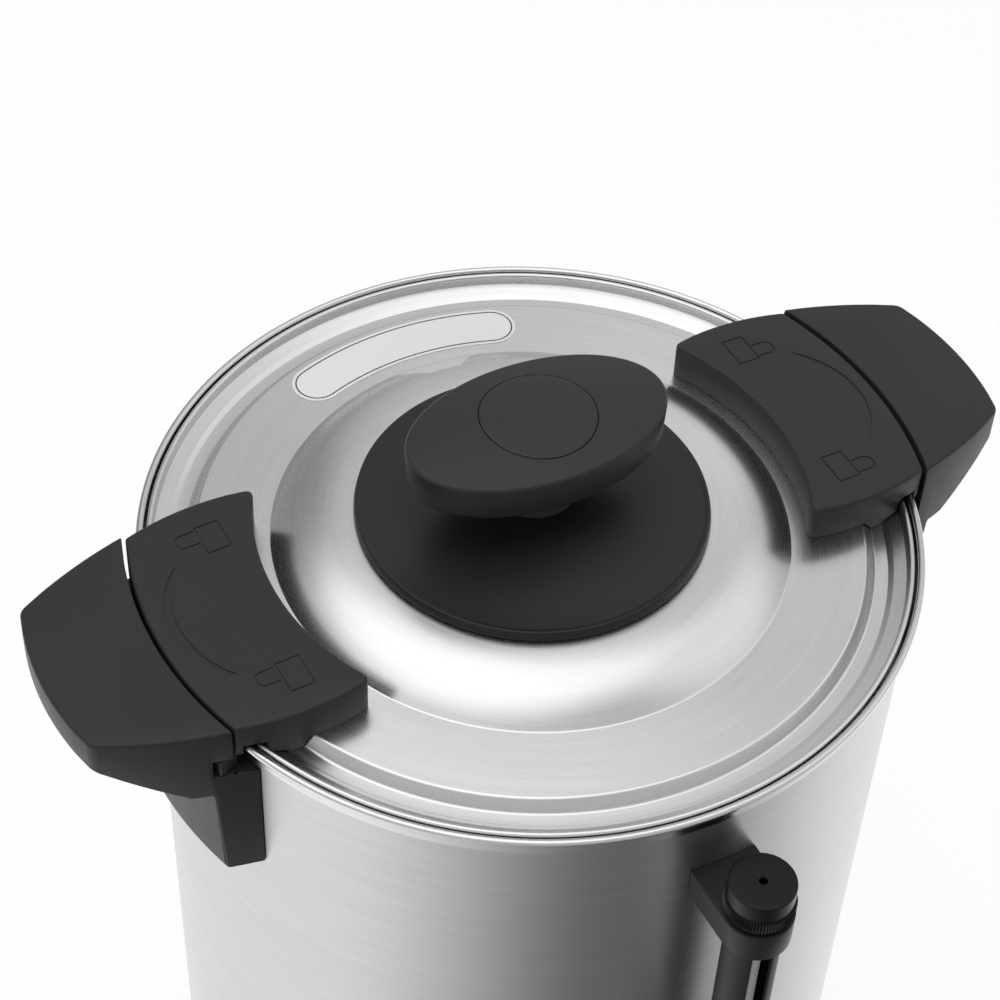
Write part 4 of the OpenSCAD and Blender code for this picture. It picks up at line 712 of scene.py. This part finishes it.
def in_a_groove(vertex):
    """Whether a vertex of the knurled ring is in one of the 72 columns that are pushed in."""
    away = Vector((vertex.co.x, vertex.co.y - gauge_y))
    column = round(math.atan2(away.y, away.x) / (2 * math.pi) * cap_steps)
    in_ring = neck_z - 0.1 * MM < vertex.co.z < knurl_top + 0.1 * MM
    return column % 2 == 0 and away.length > knurl_r - 0.7 * MM and in_ring


pick(cap, in_a_groove)
bpy.ops.transform.resize(value=(0.955, 0.955, 1), center_override=(0, gauge_y, 0))
bpy.ops.object.mode_set(mode="OBJECT")
smooth(cap, 24)
cap_plastic = moulded("cap_black_plastic", (0.007, 0.007, 0.0072), 0.3, grain=1400, depth=0.00001,
                      shine=0.2)
fit_piece(cap, cap_plastic, "urn", "cap", "gauge_cap")

rounded_copy("slotted_guard", "gauge_guard", 0.3, gauge_plastic, "gauge")


def clear_glass(name):
    """Borosilicate glass with faint drawing streaks."""
    material, start = new_material(name)
    place = start.node("TexCoord", output="Object")
    streaks = noise(place, 90.0, 2.0)
    skin = start.node("BsdfPrincipled", None, {
        "Base Color": start.node("Mix", {"data_type": "RGBA"}, {
            "Factor": streaks * 0.4, 6: (0.95, 0.98, 0.975, 1), 7: (0.9, 0.96, 0.95, 1)}, 2),
        "Roughness": streaks * 0.04 + 0.01, "IOR": 1.47, "Transmission Weight": 1.0})
    finish_material(start, skin)
    return material


glass_low, glass_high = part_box("gauge_glass")
glass_r = glass_high.x
glass_in_r, glass_soft = glass_r - 1.2 * MM, 0.3 * MM
glass = turned("gauge_tube", softened([
    (glass_in_r, glass_low.z), (glass_r, glass_low.z, glass_soft), (glass_r, glass_high.z, glass_soft),
    (glass_in_r, glass_high.z, glass_soft), (glass_in_r, glass_low.z)]), 64, (0, gauge_y))
smooth(glass)
fit_piece(glass, clear_glass("gauge_glass_clear"), "urn", "glass", "gauge_glass")
# A thin white sheet just outside the glass's front, where the glass's highlight shows: a painted highlight.
strip_in_r, strip_out_r = glass_r + 0.05 * MM, glass_r + 0.2 * MM
strip_start, strip_end = 228, 283
strip_plan = arc((0, gauge_y), strip_in_r, strip_start, strip_end, 11)
strip_plan += arc((0, gauge_y), strip_out_r, strip_end, strip_start, 11)
glass_highlight_strip = plate("painted_glass_highlight", strip_plan, glass_low.z + 20 * MM, glass_high.z - 14 * MM)
smooth(glass_highlight_strip)
highlight_white = moulded("painted_highlight_white", (0.8, 0.8, 0.79), 0.25, grain=1200, depth=0.000004, mottle=0.05)
fit_piece(glass_highlight_strip, highlight_white, "urn", "glass")
rounded_copy("gauge_seal_rings", "gauge_seals", 0.5, foot_rubber, "seal")
paint_node("bracket_screws", plated)

# ---- tap -------------------------------------------------------------
# Polished nickel-plated brass: a shank with the gauge's tee, a body with the valve, and a nozzle.
# The bonnet and the lever are black plastic, the washers and the valve's cup are silicone. A
# spring of plated wire presses the valve down, and shortens as the lever lifts it.
nickel = moulded("nickel_plated_brass", (0.72, 0.71, 0.69), 0.14, grain=500, depth=0.000004,
                 mottle=0.05, metal=1.0)
for name, node, width in (("tap_shank_and_tee", "tap_shank", 0.6), ("tap_valve_body", "tap_body", 0.6),
                          ("tap_nozzle", "tap_spout", 0.7), ("tap_back_nut", "tap_nut", 0.5)):
    rounded_copy(name, node, width, nickel, "tap")
silicone = moulded("pale_silicone", (0.6, 0.58, 0.54), 0.55, grain=900, depth=0.00002)
rounded_copy("shank_washers", "tap_washers", 0.4, silicone, "silicone")
rounded_copy("tap_bonnet_cap", "tap_bonnet", 0.8, cap_plastic, "cap")
rounded_copy("tap_stem", "valve_stem", 0.3, plated, "fastener", body="valve")
rounded_copy("tap_seat_cup", "valve_cup", 0.5, silicone, "silicone", body="valve")
rounded_copy("tap_lever_moulding", "tap_lever", 1.0, cap_plastic, "cap", body="lever")
rounded_copy("tap_lever_pin", "lever_pin", 0.3, plated, "fastener", body="lever")
spring = cad_copy("tap_coil_spring", "tap_spring")
smooth(spring, 75)
fit_piece(spring, plated, "urn", "fastener", "tap_spring")
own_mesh(spring)

# ---- percolator ------------------------------------------------------
# The brewing insert is spun and pressed from satin aluminium: a bell foot in the vessel's well,
# the pump tube, and the basket with its spreader, which slide on to the tube.
satin_aluminium = moulded("satin_aluminium", (0.62, 0.62, 0.63), 0.34, grain=800, depth=0.00001,
                          mottle=0.12, metal=1.0)
rounded_copy("pump_riser", "pump_tube", 0.2, satin_aluminium, "percolator")
rounded_copy("pump_bell", "pump_foot", 0.3, satin_aluminium, "percolator")
for name, node in (("brew_basket", "coffee_basket"), ("brew_spreader", "basket_cover")):
    sieve_part = cad_copy(name, node)
    smooth(sieve_part)
    fit_piece(sieve_part, satin_aluminium, "urn", "percolator", node)

# ---- lid -------------------------------------------------------------
# Pressed from one stainless sheet and polished in circles: a dome with a flat seat for the knob,
# a flat ring, a channel and a rolled edge. A notch in the dome behind the knob is the steam vent.
lid_sheet = 0.8 * MM
lid_edge_r = collar_in_r - 0.4 * MM
roll_r = 1.2 * MM
roll_z = rim_z - roll_r - 0.5 * MM
web_r = lid_edge_r - 2 * roll_r + 0.1 * MM
ridge_r = web_r - 4.9 * MM
channel_out_r = ridge_r - 2 * MM
channel_in_r = channel_out_r - 5 * MM
ring_r = channel_in_r - 3.5 * MM
dome_r = ring_r - 28.3 * MM
dome_seat_r = 64 * MM
ring_z = rim_z - 3.3 * MM
dome_h = 11.3 * MM
dome_z = ring_z + dome_h
channel_z = rim_z - 7.6 * MM
ridge_z = channel_z + MM
web_z = ridge_z + 1.4 * MM
dome_line = [(dome_seat_r + (dome_r - dome_seat_r) * i / 24, dome_z - dome_h * (i / 24) ** 2.6)
             for i in range(1, 24)]
lid_top = [(0, dome_z), (dome_seat_r, dome_z)] + dome_line + [
    (dome_r, ring_z, 1.2 * MM), (ring_r, ring_z, 1.6 * MM), (channel_in_r, channel_z, 1.6 * MM),
    (channel_out_r, channel_z, 1.2 * MM), (ridge_r, ridge_z, 1.2 * MM), (web_r, web_z, 0.5 * MM)]
lid_under = [(r, z - lid_sheet) for r, z, *soft in reversed(lid_top[:-1])]
roll = arc((lid_edge_r - roll_r, roll_z), roll_r, 180, -90, 16)
roll_foot_r, web_under_z = web_r + roll_r, web_z - lid_sheet
lid_outline = softened(lid_top + [roll[0]]) + roll[1:] + [
    (roll_foot_r, roll_z - roll_r), (roll_foot_r, web_under_z), (web_r, web_under_z)] + lid_under
lid = turned("pressed_lid", lid_outline, fine_steps)

skim = 0.02 * MM
vent_turn = math.radians(90 - 4.5)
vent_r = dome_r - 12.7 * MM
vent_near, vent_far, vent_lean = 5 * MM, 20 * MM, 1.6
vent_slot_half = 4.6 * MM


def at_vent(piece):
    """Turns a piece that lies along X round to the vent."""
    pick(piece, lambda vertex: True)
    bpy.ops.transform.rotate(value=-vent_turn, orient_axis="Z", center_override=(0, 0, 0))
    bpy.ops.object.mode_set(mode="OBJECT")
    return piece


def vent_wedge(name, grow, reach, low):
    """The notch's inside: narrow at the slot, wide at the dome's foot, with walls that lean outwards."""
    near_half, far_half = vent_near + grow, vent_far + grow
    wedge = plate(name, [
        (vent_r - grow, -near_half), (dome_r + reach, -far_half), (dome_r + reach, far_half),
        (vent_r - grow, near_half)], low, dome_z + MM)
    pick(wedge, lambda face: face.normal.z > 0.5, "FACE")
    bpy.ops.transform.resize(value=(1, vent_lean, 1), center_override=(0, 0, low))
    bpy.ops.object.mode_set(mode="OBJECT")
    return at_vent(wedge)


def rectangle(low_x, high_x, y, half, *soft):
    """A rectangle's outline, with its two outer corners rounded if a radius is given."""
    return softened([(low_x, y - half), (high_x, y - half, *soft), (high_x, y + half, *soft),
                     (low_x, y + half)])


vent_foot_r = dome_r + 1.6 * MM
vent_walls = turned("vent_walls", [
    (0, ring_z - lid_sheet), (vent_foot_r, ring_z - lid_sheet), (vent_foot_r, ring_z + skim),
    (dome_r, ring_z + skim)]
    + [(r, z - skim) for r, z in reversed(dome_line)] + [(0, dome_z - skim)], fine_steps)
carve(vent_walls, vent_wedge("vent_wall_block", lid_sheet, MM, ring_z - 5 * MM), "INTERSECT")
carve(vent_walls, vent_wedge("vent_inside", 0, 3 * MM, ring_z + 0.01 * MM))
vent_slot = plate("vent_slot", rectangle(vent_r - 3 * MM, vent_r + MM, 0, vent_slot_half),
                  ring_z + 0.4 * MM, ring_z + 4.4 * MM)
carve(vent_walls, at_vent(vent_slot))
carve(lid, vent_wedge("vent_gap", 0, 1.5 * MM, ring_z + skim))
carve(lid, vent_walls, "UNION")
smooth(lid, 25)
lid_steel = brushed_steel("lid_circular_polish", grey=0.7, rough=0.27, stretch=0.6, across_z=False)
fit_piece(lid, lid_steel, "lid", "lid", "lid_plate")

rounded_copy("sealing_ring", "lid_gasket", 0.3, silicone, "silicone", body="lid_ring")

# ---- label -----------------------------------------------------------
# A blank white film with round ends, stuck on the lid's ring. A thin dark line is printed just
# inside its edge.
label_in_r, label_out_r = dome_r + 5.8 * MM, dome_r + 25.8 * MM
label_mid_r, label_end_r = (label_in_r + label_out_r) / 2, (label_out_r - label_in_r) / 2
label_half_turn = 20


def label_outline(inset):
    """The label's plan, shrunk by a margin all round."""
    outer_r, inner_r, end_r = label_out_r - inset, label_in_r + inset, label_end_r - inset
    end_turn = math.radians(label_half_turn)
    end_x, end_y = label_mid_r * math.sin(end_turn), label_mid_r * math.cos(end_turn)
    right_start, left_start = 90 - label_half_turn, 270 + label_half_turn
    end_step, end_last = 180 / 16, 180 * 15 / 16
    points = arc((0, 0), outer_r, 90 + label_half_turn, 90 - label_half_turn, 20)
    points += arc((end_x, end_y), end_r, right_start - end_step, right_start - end_last, 14)
    points += arc((0, 0), inner_r, 90 - label_half_turn, 90 + label_half_turn, 20)
    return points + arc((-end_x, end_y), end_r, left_start - end_step, left_start - end_last, 14)


def film(name, shade, rough):
    """Printed film: a faint orange-peel gloss over an even tone."""
    return moulded(name, shade, rough, grain=600, depth=0.000006, mottle=0.03)


label_z = ring_z + skim
border_start, border_end = 1.2 * MM, 1.75 * MM
label = plate("blank_label", label_outline(0), label_z, ring_z + 0.2 * MM)
smooth(label)
fit_piece(label, film("label_white_film", (0.86, 0.86, 0.86), 0.4), "lid", "label", "lid_label")
line = plate("label_border_line", label_outline(border_start), label_z, ring_z + 0.22 * MM)
carve(line, plate("label_line_inside", label_outline(border_end), label_z - MM, ring_z + MM))
smooth(line)
fit_piece(line, film("label_dark_ink", (0.03, 0.03, 0.03), 0.45), "lid", "label")

# ---- lid ears --------------------------------------------------------
# Two moulded ears of the handles' nylon bridge the rim and carry the twist lock's hooks. Their
# tops have a crescent and two padlock outlines, sunk a few tenths of a millimetre.
ear_half = 50.7 * MM
ear_bow = 2.7 * MM
shift = ear_in_r - math.sqrt(ear_in_r ** 2 - ear_half ** 2)
side_start, side_end = Vector((ear_in_r - shift, ear_half)), Vector((ear_out_r - shift, ear_half))
side_r = ((side_end - side_start).length ** 2 / 4 + ear_bow ** 2) / (2 * ear_bow)
side_centre = Vector(((side_start.x + side_end.x) / 2, ear_half + ear_bow - side_r))


def side_y(x):
    """How far the ear's bowed side is from its middle line."""
    return side_centre.y + math.sqrt(side_r ** 2 - (x - side_centre.x) ** 2)


def side_meets(r):
    """The point of the ear's side at a distance from the urn's axis."""
    lower, upper = side_start.x - 20 * MM, side_end.x + 20 * MM
    for _ in range(40):
        x = (lower + upper) / 2
        if math.hypot(x, side_y(x)) < r:
            lower = x
        else:
            upper = x
    return Vector((x, side_y(x)))


inner_corner, outer_corner = side_meets(ear_in_r), side_meets(ear_out_r)
inner_turn = math.atan2(inner_corner.y, inner_corner.x)
outer_turn = math.atan2(outer_corner.y, outer_corner.x)
side_x = [inner_corner.x + (outer_corner.x - inner_corner.x) * i / 10 for i in range(2, 10)]
side_line = [(x, side_y(x)) for x in side_x]
inner_soft, outer_soft = 4 * MM, 1.5 * MM
ear_plan = [polar(ear_in_r, inner_turn * i / 12) for i in range(-10, 11)]
ear_plan += [(*inner_corner, inner_soft)] + side_line + [(*outer_corner, outer_soft)]
ear_plan += [polar(ear_out_r, outer_turn * i / 12) for i in range(11, -12, -1)]
ear_plan += [(outer_corner.x, -outer_corner.y, outer_soft)] + [(x, -y) for x, y in reversed(side_line)]
ear_plan += [(inner_corner.x, -inner_corner.y, inner_soft)]
ear_pivot = (inner_corner.x, 0, grip_top)
ear = cushioned("right_lid_ear", softened(ear_plan, closed=True), rim_z - 15 * MM, grip_top, top_soft)
sloped(ear, rim_z, ear_pivot)
skirt_in_r = rim_r + 0.5 * MM
skirt_z = rim_z - 3.5 * MM
section_in_r, section_out_r = 80 * MM, 170 * MM
section = turned("ear_section", [
    (section_in_r, ring_z), (ring_r + 0.5 * MM, ring_z), (channel_in_r + 0.6 * MM, channel_z),
    (channel_out_r - 0.2 * MM, channel_z), (ridge_r - 0.5 * MM, ridge_z + 0.2 * MM),
    (web_r - 0.4 * MM, web_z + 0.5 * MM), (web_r - 0.4 * MM, rim_z + 0.6 * MM),
    (skirt_in_r, rim_z + 0.6 * MM), (skirt_in_r, skirt_z), (section_out_r, skirt_z),
    (section_out_r, tool_top), (section_in_r, tool_top), (section_in_r, ring_z)], fine_steps)
carve(ear, section, "INTERSECT")
merge_slivers(ear, 0.12 * MM)
round_edges(ear, 0.4 * MM, 38, clamp=False)

hook_turn = math.radians(9.5)
hook_r = ear_out_r + 5.7 * MM
hook_low, hook_top = slot_floor + 0.7 * MM, slot_roof - 0.7 * MM
last_turn = outer_turn - math.radians(0.6)
hook_turns = [hook_turn + (last_turn - hook_turn) * i / 16 for i in range(17)]


def sector(inner_r, outer_r, turns):
    """The plan of a piece of a ring."""
    return [polar(outer_r, turn) for turn in turns] + [polar(inner_r, turn) for turn in reversed(turns)]


stem_in_r, stem_out_r = skirt_in_r + 0.1 * MM, ear_out_r - 0.1 * MM
hook = plate("hook_toe", sector(stem_in_r, hook_r, hook_turns), hook_low, hook_top)
round_edges(hook, 0.6 * MM, 38)
hook_stem = plate("hook_stem", sector(stem_in_r, stem_out_r, hook_turns[1:-1]), hook_low + MM, rim_z)
carve(hook, hook_stem, "UNION")
carve(ear, hook, "UNION")

tip = Vector((130.3 * MM, 28.3 * MM))
crescent = bowed(tip, (tip.x, -tip.y), 13.5 * MM, 24)
crescent += list(reversed(bowed(tip, (tip.x, -tip.y), 10.1 * MM, 24)))[1:-1]
recess_z = grip_top - 0.4 * MM
recess = plate("crescent_recess", crescent, recess_z, grip_top + 5 * MM)
sloped(recess, 0, ear_pivot)
carve(ear, recess)

lock_in, lock_out, lock_half = 108.3 * MM, 118 * MM, 7.2 * MM
shackle_in, shackle_out, shackle_half = 118.4 * MM, 126.6 * MM, 3.6 * MM
line_w, line_depth = 0.8 * MM, 0.35 * MM
for lock_y, shackle_y in ((36.6 * MM, 34 * MM), (-35 * MM, -37.4 * MM)):
    for outer, inner in (
            (rectangle(lock_in, lock_out, lock_y, lock_half),
             rectangle(lock_in + line_w, lock_out - line_w, lock_y, lock_half - line_w)),
            (rectangle(shackle_in, shackle_out, shackle_y, shackle_half, 3 * MM),
             rectangle(lock_out, shackle_out - line_w, shackle_y, shackle_half - line_w, 2.4 * MM))):
        groove = plate("lock_groove", outer, grip_top - line_depth, grip_top + 5 * MM)
        carve(groove, plate("lock_land", inner, grip_top - MM, grip_top + 6 * MM))
        sloped(groove, 0, ear_pivot)
        carve(ear, groove)
smooth(ear, 30)
fit_piece(ear, handle_plastic, "lid", "handle", "right_ear")
left_ear = half_turned("left_lid_ear", ear)
fit_piece(left_ear, handle_plastic, "lid", "handle", "left_ear")
paint_node("ear_screws", plated)

# ---- knob ------------------------------------------------------------
# A round black base with a shallow cone, an oval grip on a waisted neck, and a plain disc let
# into the grip. One screw from under the lid holds base and grip.
knob_base_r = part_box("knob_base")[1].x
base_top = dome_z + 11 * MM
neck_r = 17 * MM
cone_r, cone_top_r, cone_z = knob_base_r - 2.2 * MM, neck_r + 2 * MM, dome_z + 4.4 * MM
cone = [(cone_r - (cone_r - cone_top_r) * i / 16, cone_z + (base_top - cone_z) * (i / 16) ** 1.6)
        for i in range(1, 17)]
knob_base = turned("knob_round_base", softened([
    (0, dome_z), (knob_base_r - 1.5 * MM, dome_z, 0.6 * MM), (knob_base_r, dome_z + 1.5 * MM, 0.6 * MM),
    (knob_base_r - 0.8 * MM, dome_z + 5 * MM, 0.9 * MM),
    (knob_base_r - 2.6 * MM, dome_z + 4.42 * MM, 0.5 * MM)] + cone + [(0, base_top)]), fine_steps)
smooth(knob_base, 35)
knob_plastic = moulded("knob_base_plastic", (0.016, 0.016, 0.0165), 0.36, grain=2200, depth=0.00002)
fit_piece(knob_base, knob_plastic, "lid", "knob", "knob_base")

grip_a, grip_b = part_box("knob_grip")[1].xy
crown_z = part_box("knob_disc")[1].z
crown_h = 3.5 * MM
edge_z = crown_z - crown_h
under_z = edge_z - 15 * MM
flare_h = 5 * MM
edge_soft = 1.6 * MM
levels = [(z, r, r) for z, r in (
    (base_top, neck_r - MM), (base_top + 1.5 * MM, neck_r - 2 * MM), (base_top + 4 * MM, neck_r - 2.4 * MM),
    (under_z - flare_h, neck_r - 2 * MM))]
for i in range(1, 10):
    t = i / 12
    widths = [neck_r + (half - 5 * MM - neck_r) * t * t * 0.6 for half in (grip_a, grip_b)]
    levels.append((under_z - flare_h + 4.5 * MM * t * (2 - t), *widths))
for a in range(0, 91, 18):
    inset = 0.5 * MM + edge_soft * (1 - math.sin(math.radians(a)))
    levels.append((under_z + edge_soft * (1 - math.cos(math.radians(a))), grip_a - inset, grip_b - inset))
levels.append((edge_z - edge_soft, grip_a, grip_b))
for a in range(18, 91, 18):
    inset = edge_soft * (1 - math.cos(math.radians(a)))
    levels.append((edge_z - edge_soft * (1 - math.sin(math.radians(a))), grip_a - inset, grip_b - inset))
for i in range(1, 16):
    t = i / 16
    levels.append((edge_z + crown_h * (1 - (1 - t) ** 2),
                   (grip_a - edge_soft) * (1 - t), (grip_b - edge_soft) * (1 - t)))

bpy.ops.object.select_all(action="DESELECT")
bpy.ops.mesh.primitive_circle_add(vertices=144, radius=1, fill_type="NGON", location=(0, 0, levels[0][0]))
grip = bpy.context.object
grip.name = "oval_grip"
bpy.ops.object.transform_apply(location=True, rotation=False, scale=False)
bpy.ops.object.mode_set(mode="EDIT")
bpy.ops.mesh.select_all(action="SELECT")
bpy.ops.transform.resize(value=(*levels[0][1:], 1), center_override=(0, 0, 0))
for (z0, a0, b0), (z1, a1, b1) in zip(levels, levels[1:]):
    bpy.ops.mesh.extrude_region_move(TRANSFORM_OT_translate={"value": (0, 0, z1 - z0)})
    bpy.ops.transform.resize(value=(a1 / a0, b1 / b0, 1), center_override=(0, 0, z1))
bpy.ops.mesh.poke()
bpy.ops.mesh.select_all(action="SELECT")
bpy.ops.mesh.normals_make_consistent(inside=False)
bpy.ops.object.mode_set(mode="OBJECT")

disc_r = 21.3 * MM
disc_low, disc_gap = crown_z - 2.9 * MM, 0.35 * MM


def round_plug(name, r):
    """A short cylinder through the crown of the grip."""
    return turned(name, [(0, disc_low), (r, disc_low), (r, crown_z + MM), (0, crown_z + MM)], 120)


disc = half_turned("let_in_disc", grip)
carve(disc, round_plug("disc_plug", disc_r), "INTERSECT")
carve(grip, round_plug("disc_pocket", disc_r + disc_gap))
for piece in (disc, grip):
    round_edges(piece, 0.2 * MM, 50, 2)
grip_plastic = moulded("grip_grey_nylon", (0.025, 0.025, 0.0255), 0.42, grain=2400, depth=0.00004)
fit_piece(grip, grip_plastic, "lid", "handle", "knob_grip")
fit_piece(disc, grip_plastic, "lid", "handle", "knob_disc")
rounded_copy("knob_centre_screw", "knob_screw", 0.6, plated, "fastener", body="lid")
